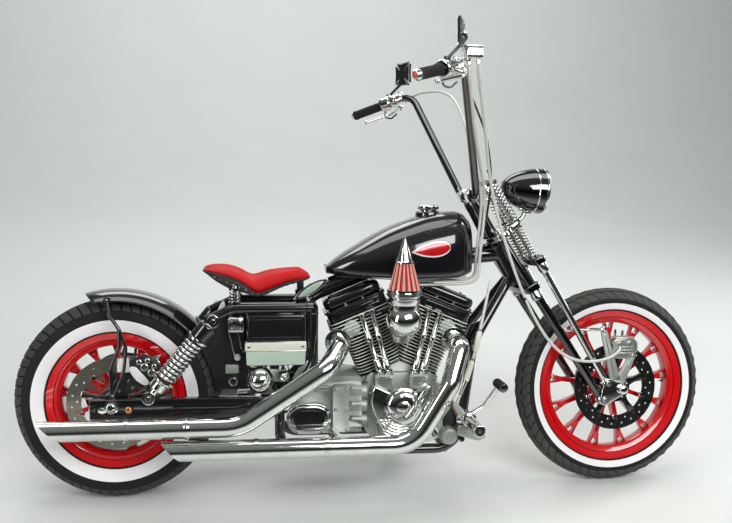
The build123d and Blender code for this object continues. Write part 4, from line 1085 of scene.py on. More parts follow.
class CHOPPER_OT_starter(Operator):
    """Starter motor with a mirror dome, and the ringed boss beside it"""
    bl_idname = "chopper.starter"
    bl_label = "Starter"

    def execute(self, context):
        end = rightward((455, -60, 395))
        rise = [(42.6 * cos(a), 68 + 42.6 * sin(a)) for a in [radians(n) for n in range(0, 91, 9)]]
        dome = turned([(0, 0), (40, 0), (42.6, 3)] + rise[:-1] + [(0, 110.6)], end, 72)
        band = turned([(40, 60), (43, 60), (43, 66), (40, 66)], end, 72, closed=True)
        motor = rod((455, 60, 395), (455, -60, 395), 40, edge=4, steps=48)
        boss = turned([(0, 0), (19.6, 0), (19.6, 80), (17, 84), (13, 84), (12, 80), (8, 80), (7, 83),
            (0, 84)], rightward((529, -62, 411)), 48)
        web = casting("starter", 1.5, 2, 25)
        cut_away(web, (0, -104, 0), (0, -1, 0))
        piece("starter", [([dome, band], "chrome"), (motor, "satin_black"), (boss, "chrome"), (web, "cast")])
        return {"FINISHED"}


def case_shell(inset, low, high, edge):
    """Plate drawn round the clutch and the crank, from one Y to another."""
    points = []
    for centre, radius, start in ((CLUTCH, 112, 90), (CRANK, 80, -90)):
        for step in range(19):
            angle = radians(start + step * 10)
            points.append((centre.x + (radius - inset) * cos(angle),
                centre.z + (radius - inset) * sin(angle)))
    return plate(points, low, high, 0, edge, 4)


class CHOPPER_OT_primary(Operator):
    """Left side: chain case with a clutch lid, and the front pulley behind it"""
    bl_idname = "chopper.primary"
    bl_label = "Primary cover"

    def execute(self, context):
        case = [case_shell(6, 146, 186, 8), case_shell(12, 184, 197, 6)]
        seam = case_shell(4.8, 158, 162, 0.8)
        lid = turned([(0, 209), (40, 208.5), (58, 205), (70, 200), (73, 194), (0, 190)], across(CLUTCH), 72)
        eye = turned([(0, 211), (16, 210.5), (20, 208), (0, 206)], across(CLUTCH), 40)
        bolts = screw_circle(across(CLUTCH) @ at(0, 0, 203), 7, 62, 4, 4)
        bolts += [cap_screw(across((x, 194, z)), 4.5, 5)
            for x, z in ((740, 368), (830, 344), (900, 336), (964, 275), (900, 212), (830, 208), (740, 205),
            (586, 345), (578, 245))]
        stub = rod((CRANK.x, 96.4, CRANK.z), (CRANK.x, 148, CRANK.z), 65, edge=3, steps=64)
        piece("primary_cover", [(case + [lid, eye], "chrome"), (seam, "rubber"), (bolts, "steel"),
            (stub, "cast")], name="primary_dressed")
        pulley = turned([(0, 74.4), (30, 74.4), (55, 76), (55, 107), (30, 108), (26, 104), (0, 104)],
            across(PULLEY), 64)
        piece("front_pulley", [(pulley, "cast")])
        return {"FINISHED"}


def belt_line(rear_r, front_r, steps=40):
    """Points of the belt's line round both pulleys, in X and Z."""
    rear, front = REAR_AXLE.xz, PULLEY.xz
    line = front - rear
    base = atan2(line.y, line.x)
    open_by = acos((rear_r - front_r) / line.length)
    points = []
    for centre, radius, start, end in ((rear, rear_r, base + open_by, base - open_by + tau),
            (front, front_r, base - open_by, base + open_by)):
        for step in range(steps + 1):
            angle = start + (end - start) * step / steps
            points.append((centre.x + radius * cos(angle), centre.y + radius * sin(angle)))
    return points


class CHOPPER_OT_belt(Operator):
    """Drive belt: a closed band round both pulleys"""
    bl_idname = "chopper.belt"
    bl_label = "Drive belt"

    def execute(self, context):
        form = bmesh.new()
        rings = [closed_line(form, [(x, y, z) for x, z in line])[1]
            for line in (belt_line(125.2, 60.8), belt_line(121.2, 56.4)) for y in (83, 105)]
        for first, second in ((0, 1), (2, 3), (0, 2), (1, 3)):
            bmesh.ops.bridge_loops(form, edges=rings[first] + rings[second])
        bmesh.ops.recalc_face_normals(form, faces=form.faces)
        piece("drive_belt", [(form, "rubber")], name="belt_dressed")
        return {"FINISHED"}


# Intake and exhaust


CONE = Vector((901, -200, 0))
PIPE_R, MOUTH_DEPTH = 31, 240


def pleats(low_z, high_z, low_r, high_r, count):
    """Folded paper of the air cleaner: narrow wedges, every other one red."""
    wedges = []
    for number in range(count):
        wedge = bmesh.new()
        rings = []
        for z, radius in ((low_z, low_r), (high_z, high_r)):
            row = [(0, 0, z)]
            for share, reach in ((0, radius - 6), (0.5, radius), (1, radius - 6)):
                angle = tau * (number + share) / count
                row.append((reach * cos(angle), reach * sin(angle), z))
            rings.append(closed_line(wedge, row)[1])
        bmesh.ops.bridge_loops(wedge, edges=rings[0] + rings[1])
        wedges.append(moved(closed_up(wedge), at(*CONE)))
    return wedges[::2], wedges[1::2]


class CHOPPER_OT_intake(Operator):
    """Carburettor, its bright elbow, and the spiked cone of the air cleaner"""
    bl_idname = "chopper.intake"
    bl_label = "Intake and air cleaner"

    def execute(self, context):
        body = block((70, 54, 96), (908, -123, 569), 9, 4)
        bowl = turned([(0, 0), (26, 0), (30, 4), (30, 26), (0, 26)], at(908, -122, 508), 40)
        top = turned([(0, 0), (28, 0), (28, 14), (20, 22), (0, 24)], at(908, -122, 616), 40)
        manifold = rod((908, -83, 560), (908, -100, 560), 33, edge=2, steps=40)
        band = turned([(33, 0), (35, 0), (35, 8), (33, 8)], rightward((908, -86, 560)), 40, closed=True)
        screws = [cap_screw(at(x, -122, 637), 3.4, 3) for x in (888, 928)]
        elbow = tube([(CONE.x, -140, 588), (CONE.x, -200, 592), (CONE.x, -200, 650)], 47, 46, 48, 18)
        bowl_end = ball(56, at(CONE.x, -200, 592), 64, range(0, 130, 8), [(0, 34)])
        bulge = [(44, 630), (47, 640), (51, 648), (52, 656), (48, 659), (48, 662), (52, 664), (53, 668),
            (53, 676), (51, 678), (54, 680), (54, 687), (0, 688), (0, 630)]
        throat = turned(bulge, at(*CONE), 72)
        clip = turned([(52.6, 668), (55, 669), (55, 675), (52.6, 676)], at(*CONE), 72, closed=True)
        piece("intake", [([body, bowl], "polished_cast"), ([top, manifold], "cast"), (band, "steel"),
            (screws, "steel"), ([elbow, bowl_end, throat], "chrome"), (clip, "steel")])
        red, cream = pleats(687, 772, 50, 27, 2 * context.scene.chopper_sizes.pleats)
        spike = turned([(0, 766), (25, 766), (27.5, 768), (27.5, 773), (25, 775), (22.6, 784), (17, 804),
            (11, 824), (5.6, 842), (2.6, 850), (1, 852.2), (0, 852.6)], at(*CONE), 72)
        piece("air_cleaner", [(red, "pleat_red"), (cream, "pleat_cream"), (spike, "chrome")])
        return {"FINISHED"}


def pipe_forms(points, bends, tail_top, tail_bottom, seam_x):
    """Exhaust pipe with a hollow, slanted tail, a raised seam and a flange at the head."""
    y, z = points[0][1], points[0][2]
    outer = tube(points, PIPE_R, bends, 64, 16)
    slant = Vector((-2 * PIPE_R, 0, tail_top - tail_bottom)).normalized()
    middle = Vector(((tail_top + tail_bottom) / 2, y, z))
    cut_away(outer, middle, slant)
    tip = [face for face in outer.faces if abs(face.normal.dot(slant)) > 0.99
        and (face.calc_center_median() - middle).length < 40]
    bmesh.ops.inset_region(outer, faces=tip, thickness=2.2)
    inner = only(BMVert, bmesh.ops.extrude_face_region(outer, geom=tip)["geom"])
    bmesh.ops.delete(outer, geom=tip, context="FACES_ONLY")
    for vert in inner:
        vert.co.x = tail_bottom + MOUTH_DEPTH
    along_x = at(0, y, z) @ tilt(90, "Y")
    rings = [collar([(30, low), (radius, low), (radius, high), (30, high)], 1, along_x)
        for low, high, radius in ((seam_x - 9, seam_x - 5, 32.6), (seam_x - 4, seam_x + 4, 34),
        (seam_x + 5, seam_x + 9, 32.6))]
    head = Vector(points[-1])
    away = (Vector(points[-2]) - head).normalized()
    flange = rod(head, head + away * 10, 42, edge=3, steps=48)
    nuts = [form for dx in (-36, 36)
        for form in bolt(facing(head + away * 10 + Vector((dx, 0, 0)), away), 5, 6)]
    strap_x = (seam_x + tail_bottom) / 2
    strap = turned([(31, 0), (33.4, 0), (33.4, 12), (31, 12)], at(strap_x, 0, 0) @ along_x, 48, closed=True)
    stub = block((14, 70, 10), (strap_x + 6, y + 66, z), 3, 2)
    return [outer] + rings, [flange, strap, stub], nuts


def mouth_dark(tail_x, y, z):
    """Sooty inside the tail, chrome outside."""
    def look(face):
        middle = face.calc_center_median()
        reach = hypot(middle.y - y, middle.z - z)
        inside = reach < 29.9 and middle.x < tail_x and abs(face.normal.x) < 0.8
        return "soot" if inside else "chrome"
    return look


class CHOPPER_OT_exhausts(Operator):
    """Two long pipes with open, slanted tails"""
    bl_idname = "chopper.exhausts"
    bl_label = "Exhausts"

    def execute(self, context):
        # Each row: name, route, bends, the tail's top and bottom, the seam's X
        rows = [("upper", [(-225, -228, 272), (392, -228, 272), (662, -222, 446), (704, -152, 498),
            (704, -82.6, 506)], [150, 60, 26], -208, -134, 233),
            ("lower", [(135, -228, 202), (930, -228, 202), (1046, -222, 388), (1086, -180, 504),
            (1084, -82.6, 508)], [120, 60, 34], 155, 215, 658)]
        for name, route, bends, top, bottom, seam in rows:
            skin, fittings, nuts = pipe_forms(route, bends, top, bottom, seam)
            piece(name + "_exhaust",
                [(skin, mouth_dark(bottom + MOUTH_DEPTH + 20, route[0][1], route[0][2])),
                (fittings, "chrome"), (nuts, "steel")])
        return {"FINISHED"}


# Body


def between(rows, x):
    """Values of a table at x, on a smooth curve through its rows, whose first column is x."""
    place = next((number for number, row in enumerate(rows) if number and row[0] >= x), len(rows) - 1)
    low, high = rows[place - 1], rows[place]
    before, after = rows[max(0, place - 2)], rows[min(len(rows) - 1, place + 1)]
    span = high[0] - low[0]
    t = (x - low[0]) / span
    values = []
    for column in range(1, len(low)):
        rise_low = (high[column] - before[column]) / (high[0] - before[0]) * span
        rise_high = (after[column] - low[column]) / (after[0] - low[0]) * span
        values.append((2 * t ** 3 - 3 * t ** 2 + 1) * low[column] + (t ** 3 - 2 * t ** 2 + t) * rise_low
            + (3 * t ** 2 - 2 * t ** 3) * high[column] + (t ** 3 - t ** 2) * rise_high)
    return values


def skin(rings):
    """Surface through closed rings of points, each bridged to the next, with filled ends."""
    form = bmesh.new()
    loops = [closed_line(form, ring)[1] for ring in rings]
    for first, second in zip(loops, loops[1:]):
        bmesh.ops.bridge_loops(form, edges=first + second)
    return closed_up(form)


def mapped(form, place_of):
    """Gives a form a UV map: place_of takes a point and returns its two values."""
    layer = form.loops.layers.uv.new("UVMap")
    for face in form.faces:
        for loop in face.loops:
            loop[layer].uv = place_of(loop.vert.co)
    return form


def smooth_line(points, steps=10):
    """Points along a smooth line drawn by the route's points."""
    curve = bpy.data.curves.new("line", "CURVE")
    curve.dimensions = "3D"
    curve.resolution_u = steps
    spline = curve.splines.new("NURBS")
    spline.points.add(len(points) - 1)
    for point, knot in zip(points, spline.points):
        knot.co = (*point, 1)
    spline.order_u = 3
    spline.use_endpoint_u = True
    holder = shown("line", curve)
    mesh = evaluated(holder)
    line = [vert.co.copy() for vert in mesh.vertices]
    bpy.data.objects.remove(holder)
    bpy.data.curves.remove(curve)
    bpy.data.meshes.remove(mesh)
    return line


def cable(points, radius, sides=12):
    """Flexible line along a smooth route, with a UV map whose first value is its length in metres."""
    line = smooth_line(points)
    form = bmesh.new()
    heading = (line[1] - line[0]).normalized()
    ring = list(bmesh.ops.create_circle(form, segments=sides, radius=radius,
        matrix=facing(line[0], heading))["verts"])
    loop = [form.edges.get((vert, ring[number - 1])) for number, vert in enumerate(ring)]
    # Each vertex's share of the way round, and its length along the line
    shares = {vert: number / sides for number, vert in enumerate(ring)}
    lengths = dict.fromkeys(ring, 0.0)
    run = 0.0
    for back, point, ahead in zip(line, line[1:], line[2:] + line[-1:]):
        made = bmesh.ops.extrude_edge_only(form, edges=loop)["geom"]
        fresh = only(BMVert, made)
        wanted = (ahead - back).normalized()
        turn = at(*point) @ heading.rotation_difference(wanted).to_matrix().to_4x4() @ at(*-back)
        run += (point - back).length * MM
        for vert in fresh:
            shares[vert] = next(shares[e.other_vert(vert)] for e in vert.link_edges
                if e.other_vert(vert) in shares)
            lengths[vert] = run
        bmesh.ops.transform(form, matrix=turn, verts=fresh)
        heading = wanted
        loop = [edge for edge in only(BMEdge, made) if all(vert in fresh for vert in edge.verts)]
    closed_up(form)
    layer = form.loops.layers.uv.new("UVMap")
    for face in form.faces:
        wraps = max(shares[v] for v in face.verts) > 0.6 and len(face.verts) == 4
        for corner in face.loops:
            share = shares[corner.vert]
            corner[layer].uv = (lengths[corner.vert], 1.0 if wraps and share < 0.3 else share)
    return form


# Each row: X, half width, bottom, top, share of the height where the shoulder starts
TANK = [(672, 46, 722, 747, 0.5), (705, 68, 718, 774, 0.44), (760, 94, 715, 810, 0.4),
    (850, 120, 712, 862, 0.38), (930, 131, 710, 895, 0.38), (1000, 133, 710, 917, 0.4),
    (1075, 125, 713, 926, 0.42), (1118, 104, 717, 920, 0.46), (1142, 76, 722, 896, 0.5)]
TANK_NOSE, TANK_TAIL = 7, 5


def tank_ring(x, shift=0.0, swell=1.0):
    """Section of the tank at x: flat below, rounded shoulders above."""
    half, low, high, share = between(TANK, x)
    side, middle = low + (high - low) * share, (low + high) / 2
    right = [(half * 0.5, low), (half - 24, low), (half - 9, low + 2.5), (half - 2, low + 10),
        (half, low + 24)]
    right += [(half * cos(radians(a)) ** 0.92, side + (high - side) * sin(radians(a)) ** 0.92)
        for a in range(0, 82, 9)]
    ring = [Vector((x + shift, y, z)) for y, z in right + [(0, high)] + [(-y, z) for y, z in reversed(right)]]
    centre = Vector((x + shift, 0, middle))
    return [centre + (point - centre) * swell for point in ring]


class CHOPPER_OT_tank(Operator):
    """Fuel tank with a plain teardrop on each flank, and its bright cap"""
    bl_idname = "chopper.tank"
    bl_label = "Fuel tank"

    def execute(self, context):
        first, last = TANK[0][0], TANK[-1][0]
        curve = [radians(a) for a in range(15, 91, 15)]
        rings = [tank_ring(first, -TANK_TAIL * sin(a), 0.35 + 0.65 * cos(a)) for a in reversed(curve)]
        rings += [tank_ring(first + (last - first) * step / 44) for step in range(45)]
        rings += [tank_ring(last, TANK_NOSE * sin(a), 0.62 + 0.38 * cos(a)) for a in curve]
        body = mapped(skin(rings), lambda p: ((p.x - first) / (last - first), (p.z - 710) / 216))
        seam = tube([(700, -70, 716), (850, -118, 711.5), (930, -129, 710), (1000, -131, 710),
            (1118, -102, 716)], 1.6, 40, 8, 4)
        piece("fuel_tank", [(body, "tank_black"), (pair(seam), "gloss_black")],
            name="tank_dressed", sharp=60)
        cap = knob([(0, 905), (29, 905), (29, 930), (34.5, 931), (35, 942), (30, 945.6), (12, 946), (0, 946)],
            2.5, at(1011, 0, 0), 64)
        ridges = ring_of(block((2.6, 2.2, 8), (0, 0, 936.5), 0.8, 1), 48, 34.6, 0, at(1011, 0, 0))
        bung = turned([(28, 910), (44, 910), (42, 921), (37, 925), (28, 926)], at(1011, 0, 0), 48,
            closed=True)
        piece("fuel_cap", [(cap, "chrome"), (ridges, "chrome"), (bung, "gloss_black")])
        return {"FINISHED"}


# Each row: X, half width, bottom, top
CUSHION = [(273, 74, 738, 740), (284, 98, 736, 742), (300, 113, 733, 743), (326, 121, 728, 743),
    (356, 124, 719, 739), (391, 125, 705, 727), (424, 121, 680, 710), (446, 117, 665, 711),
    (480, 108, 673, 722), (530, 92, 691, 730), (560, 76, 698, 733), (598, 65, 705, 732), (620, 58, 712, 718)]
PAN = [(276, 72, 734, 740), (292, 100, 725, 737), (316, 115, 707, 732), (356, 119, 684, 720),
    (384, 120, 675, 707), (410, 119, 667, 690), (439, 115, 657, 669), (467, 108, 660, 670),
    (528, 89, 684, 692), (562, 72, 693, 699), (596, 61, 700, 705), (614, 53, 708, 712)]


def pad_ring(rows, x, crown, swell=1.0):
    """Section of a cushion: flat below, bulged sides, a rolled shoulder and a shallow dish on top."""
    half, low, high = between(rows, x)
    tall = high - low
    half *= swell
    right = [(half * 0.45, low), (half * 0.84, low), (half * 0.96, low + tall * 0.12),
        (half, low + tall * 0.38), (half * 0.985, low + tall * 0.68), (half * 0.93, low + tall * 0.92),
        (half * 0.84, high), (half * 0.62, high + crown * 0.3), (half * 0.3, high - crown * 0.5)]
    points = right + [(0, high - crown)] + [(-y, z) for y, z in reversed(right)] + [(0, low)]
    return [Vector((x, y, z)) for y, z in points]


def edge_line(rows, side, out, rise, low=0.02, high=0.98, count=30):
    """Points along one side of a cushion, out from its half width, at a share of its height."""
    first, last = rows[0][0], rows[-1][0]
    line = []
    for step in range(count + 1):
        x = first + (last - first) * (low + (high - low) * step / count)
        half, bottom, top = between(rows, x)
        line.append(Vector((x, side * (half + out), bottom + (top - bottom) * rise)))
    return line


def evaluated(holder):
    """New mesh of an object's shape after its modifiers."""
    return bpy.data.meshes.new_from_object(holder.evaluated_get(bpy.context.evaluated_depsgraph_get()))


def plump(form, fill, cap, frames=20, voxel=0.005):
    """Blows a closed pad up by a cloth simulation, no point farther than the cap, and returns it."""
    mesh = bpy.data.meshes.new("pad")
    form.to_mesh(mesh)
    form.free()
    mesh.transform(Matrix.Scale(MM, 4))
    pad = shown("pad", mesh)
    remesh = pad.modifiers.new("remesh", "REMESH")
    remesh.mode, remesh.voxel_size = "VOXEL", voxel
    even = evaluated(pad)
    pad.modifiers.clear()
    pad.data = even
    cloth = pad.modifiers.new("cloth", "CLOTH")
    cloth.settings.use_pressure = True
    cloth.settings.uniform_pressure_force = fill
    cloth.settings.effector_weights.gravity = 0
    cloth.point_cache.frame_start, cloth.point_cache.frame_end = 1, frames
    for number in range(1, frames + 1):
        bpy.context.scene.frame_set(number)
    full = evaluated(pad)
    for vert, start in zip(full.vertices, even.vertices):
        move = vert.co - start.co
        if move.length > cap * MM:
            vert.co = start.co + move.normalized() * cap * MM
    blown = bmesh.new()
    blown.from_mesh(full)
    bmesh.ops.smooth_vert(blown, verts=blown.verts, factor=0.5, use_axis_x=True, use_axis_y=True,
        use_axis_z=True)
    blown.transform(Matrix.Scale(1 / MM, 4))
    bpy.data.objects.remove(pad)
    bpy.context.scene.frame_set(1)
    return blown


class CHOPPER_OT_seat(Operator):
    """Red leather seat with a kicked-up tail, piped round its edge, on a black riveted pan with springs"""
    bl_idname = "chopper.seat"
    bl_label = "Seat"

    def execute(self, context):
        first, last = CUSHION[0][0], CUSHION[-1][0]
        rings = [pad_ring(CUSHION, first + (last - first) * step / 34, 5, 0.985) for step in range(35)]
        pad = skin(rings)
        pad = plump(pad, 4.0, 3.0)
        for vert in pad.verts:
            half, low, high = between(CUSHION, min(max(vert.co.x, first), last))
            groove = exp(-((abs(vert.co.y) - half * 0.72) / 3.5) ** 2)
            if vert.co.z > (low + high) / 2:
                vert.co.z -= 1.6 * groove
        cushion = piece("seat_cushion", [(pad, "red_leather")], sharp=180)
        divide = cushion.modifiers.new("round", "SUBSURF")
        divide.levels = divide.render_levels = 1
        pan_rings = [pad_ring(PAN, PAN[0][0] + (PAN[-1][0] - PAN[0][0]) * step / 30, 0) for step in range(31)]
        pan = skin(pan_rings)
        piping = [cable(edge_line(CUSHION, side, -1.2, 0.04), 2.6, 8) for side in (-1, 1)]
        rivets, stitches = [], []
        for side in (-1, 1):
            for point in edge_line(PAN, side, -1.4, 0.5, 0.06, 0.9, 15):
                place = facing(point, (0, side, 0))
                rivets.append(turned([(0, 3.2), (2.2, 2.7), (3.6, 1.2), (4, 0), (0, 0)], place, 12))
            line = edge_line(PAN, side, -0.2, 0.85, 0.03, 0.95, 110)
            for start, end in zip(line[::2], line[1::2]):
                stitches.append(rod(start, end, 0.8, edge=0.3, steps=6))
        post = block((22, 32, 32), (587, 0, 683), 3, 2)
        piece("seat_pan", [(pan, "black_leather"), (piping, "black_leather"), (rivets, "chrome"),
            (stitches, "thread"), (post, "satin_black")])
        springs, posts = [], []
        for y in (-116, 116):
            springs.append(coil((377, y, 640), (377, y, 685), 19.4, 2.8, 4.2, 20, 10))
            profiles = ([(0, 638.2), (20, 638.2), (20, 641), (8, 642), (6, 655), (0, 655)],
                [(0, 694), (12, 694), (14, 686), (19.6, 685), (19.6, 682), (6, 681), (6, 670), (0, 670)])
            posts += [turned(profile, at(377, y, 0), 32) for profile in profiles]
        piece("seat_springs", [(springs, "chrome"), (posts, "dark_chrome")])
        return {"FINISHED"}


def pointed(form, half):
    """Draws the spun fender's last stretch out along its crown and back along its edges."""
    for vert in form.verts:
        back = min(max((-degrees(atan2(vert.co.y, vert.co.x)) - 56) / 18, 0), 1)
        turn = -radians(back * (2.4 - 5.0 * abs(vert.co.z / half) ** 1.6))
        vert.co = Matrix.Rotation(turn, 3, "Z") @ vert.co
    return form


class CHOPPER_OT_fender(Operator):
    """Short black rear fender with rolled edges and forked struts"""
    bl_idname = "chopper.fender"
    bl_label = "Rear fender"

    def execute(self, context):
        half = 88
        places = [half * step / 8 for step in range(-8, 9)]
        outer = [(352.4 - 31 * abs(y / half) ** 2.8, y) for y in places]
        inner = [(r - 2.8, y * 0.97) for r, y in reversed(outer)]
        shell = [soften(swept(outer + inner, radians(-74), 48), 0.8, 2, 50)]
        curve = [radians(a) for a in range(0, 360, 30)]
        for side in (-1, 1):
            bead = [(322 + 3.2 * sin(a), side * 87 + 3.2 * cos(a)) for a in curve]
            shell.append(swept(bead, radians(-74), 48))
        place = across(REAR_AXLE) @ tilt(-30, "Z")
        struts = [tube([(-20, -86, 644), (-10, -114, 606), (23, -122, 560), (22, -126, 506), (-4, -130, 440),
            (0, -134, 346.4)], 6, [40, 30, 40, 60], 20),
            tube([(23, -122, 562), (43, -126, 500), (36, -130, 430), (4, -134, 352)], 5, [30, 60], 16)]
        tabs = [plate([(-34, 632), (-30, 654), (-8, 658), (-6, 634)], -89, -84, 8, 1)]
        screws = [cap_screw(rightward((-20, -89, 645)), 6, 5)]
        screws += bolt(rightward((0, -138, 352)), 7, 5)
        piece("rear_fender", [(placed([pointed(each, half) for each in shell], place), "gloss_black"),
            (pair(*struts, *tabs), "gloss_black"), (pair(*screws), "chrome")],
            name="fender_dressed")
        return {"FINISHED"}


# Frame


STRAIGHT = Matrix(((STEER_AHEAD.x, 0, STEER_UP.x, STEER_BASE.x), (0, 1, 0, STEER_BASE.y),
    (STEER_AHEAD.z, 0, STEER_UP.z, STEER_BASE.z), (0, 0, 0, 1)))

STAND_PIVOT = Vector((880, 172, 150))
STAND_TOE = Vector((950, 304))
STAND_DROP = 80 * (1 - cos(LEAN))
STAND_GROUND = Vector((*STAND_TOE, (STAND_TOE.y * sin(LEAN) - STAND_DROP) / cos(LEAN)))
STAND_FOOT = STAND_GROUND + Vector((0, 0, 16))
STAND_AXIS = (STAND_FOOT - STAND_PIVOT).cross(Vector((-0.914, 0.402, -0.06))).normalized()


def stand_place():
    """Place at the stand's hinge: Z along its pin, X into the motorcycle."""
    inward = (Vector((0, -1, 0)) + STAND_AXIS * STAND_AXIS.y).normalized()
    side = STAND_AXIS.cross(inward)
    rows = [(inward[n], side[n], STAND_AXIS[n], STAND_PIVOT[n]) for n in range(3)]
    return Matrix((*rows, (0, 0, 0, 1)))


class CHOPPER_OT_frame(Operator):
    """Black tubular frame with welds, lugs and the side stand's clevis"""
    bl_idname = "chopper.frame"
    bl_label = "Frame"

    def execute(self, context):
        neck = collar([(14.6, 470), (28, 470), (31.5, 473), (31.5, 488), (29.6, 492), (29.6, 614),
            (31.5, 618), (31.5, 633), (28, 636), (14.6, 636)], 1.6, STRAIGHT, 48)
        backbone = tube([fork_point(-8, 592), (860, 0, 750), (640, 0, 661), (612, 0, 644)], 28, [300, 60], 40)
        cradle = [tube([fork_point(-8, 504, -12), (1150, -88, 500), (1092, -126, 158), (516, -126, 158),
            (516, -126, 310), (586, -126, 385), (622, -126, 440), (622, -126, 622)], 16,
            [200, 90, 70, 60, 60, 60], 28),
            tube([(622, -126, 622), (370, -126, 622), (290, -126, 585)], 16, [60], 28),
            rod((312, -126, 590), (312, -154.8, 590), 14, edge=2),
            plate([(456, 288), (516, 288), (516, 348), (456, 348)], -117.8, -110, 8, 1.5),
            plate([(1128, 452), (1176, 566), (1146, 556), (1108, 470)], -70, -64, 5, 1)]
        for form in (backbone, cradle[0]):
            cut_away(form, fork_point(-17, 560), STEER_AHEAD)
        cross = [rod((622, -126, 622), (622, 126, 622), 16, edge=2),
            rod((335, -126, 606), (335, 126, 606), 14), rod((700, -126, 158), (700, 126, 158), 13),
            rod((1050, -126, 158), (1050, 126, 158), 13), block((34, 36, 46), (587, 0, 645), 3)]
        place = stand_place()
        ears = [block((56, 30, 6), (12, 0, side * 18), 3, 2) for side in (-1, 1)]
        web = block((18, 30, 42), (31, 0, 0), 3, 2)
        pin = [rod((0, 0, -22.5), (0, 0, 22.5), 6, edge=1), *bolt(at(0, 0, 21), 9, 5)]
        welds = []
        for y in (-126, 126):
            for centre, along, radius in (((622, y, 604), (0, 0, 1), 16.2), ((602, y, 622), (1, 0, 0), 16.2)):
                welds.append(turned([(radius, -2.5), (radius + 1.6, -1), (radius + 1.6, 1), (radius, 2.5)],
                    facing(centre, along), 32, closed=True))
        bosses = [rod((x, -140, z), (x, -144, z), 9, edge=1) for x, z in ((1104, 190), (520, 210))]
        piece("frame", [([neck, backbone, *cross, *welds], "gloss_black"),
            (pair(*(cradle + bosses)), "gloss_black"), (placed(ears + [web], place), "satin_black"),
            (placed(pin, place), "steel")])
        return {"FINISHED"}


class CHOPPER_OT_stand(Operator):
    """Bright side stand on its clevis"""
    bl_idname = "chopper.stand"
    bl_label = "Side stand"

    def execute(self, context):
        run = STAND_FOOT - STAND_PIVOT
        eye = collar([(6.5, -14), (16.6, -14), (17, -12), (17, 12), (16.6, 14), (6.5, 14)], 1, stand_place(),
            40)
        leg = rod(STAND_PIVOT + run * 0.05, STAND_FOOT, 13, 10, 2)
        band = knob([(0, 0), (15, 0), (15, 14), (0, 14)], 2, facing(STAND_PIVOT + run * 0.12, run), 32)
        neck = rod(STAND_GROUND + Vector((0, 0, 4)), STAND_FOOT, 12, edge=2)
        pad = block((64, 40, 8), (0, 0, 4), 2.5, 3)
        foot = moved(pad, at(*STAND_GROUND) @ Matrix.Rotation(LEAN, 4, "X"))
        start = STAND_PIVOT + run * 0.6
        tang = rod(start, start + Vector((34, 8, -10)), 5, edge=1.5)
        tip = rod(start + Vector((28, 6.6, -8.2)), start + Vector((34.6, 8.2, -10.2)), 6.2, edge=2)
        piece("side_stand", [([eye, leg, band, tang], "chrome"), ([neck, foot], "satin_black"),
            (tip, "rubber")], "side_stand")
        return {"FINISHED"}


SHOCK_TOP, SHOCK_BOTTOM = Vector((312, 0, 590)), Vector((115, 0, 355))


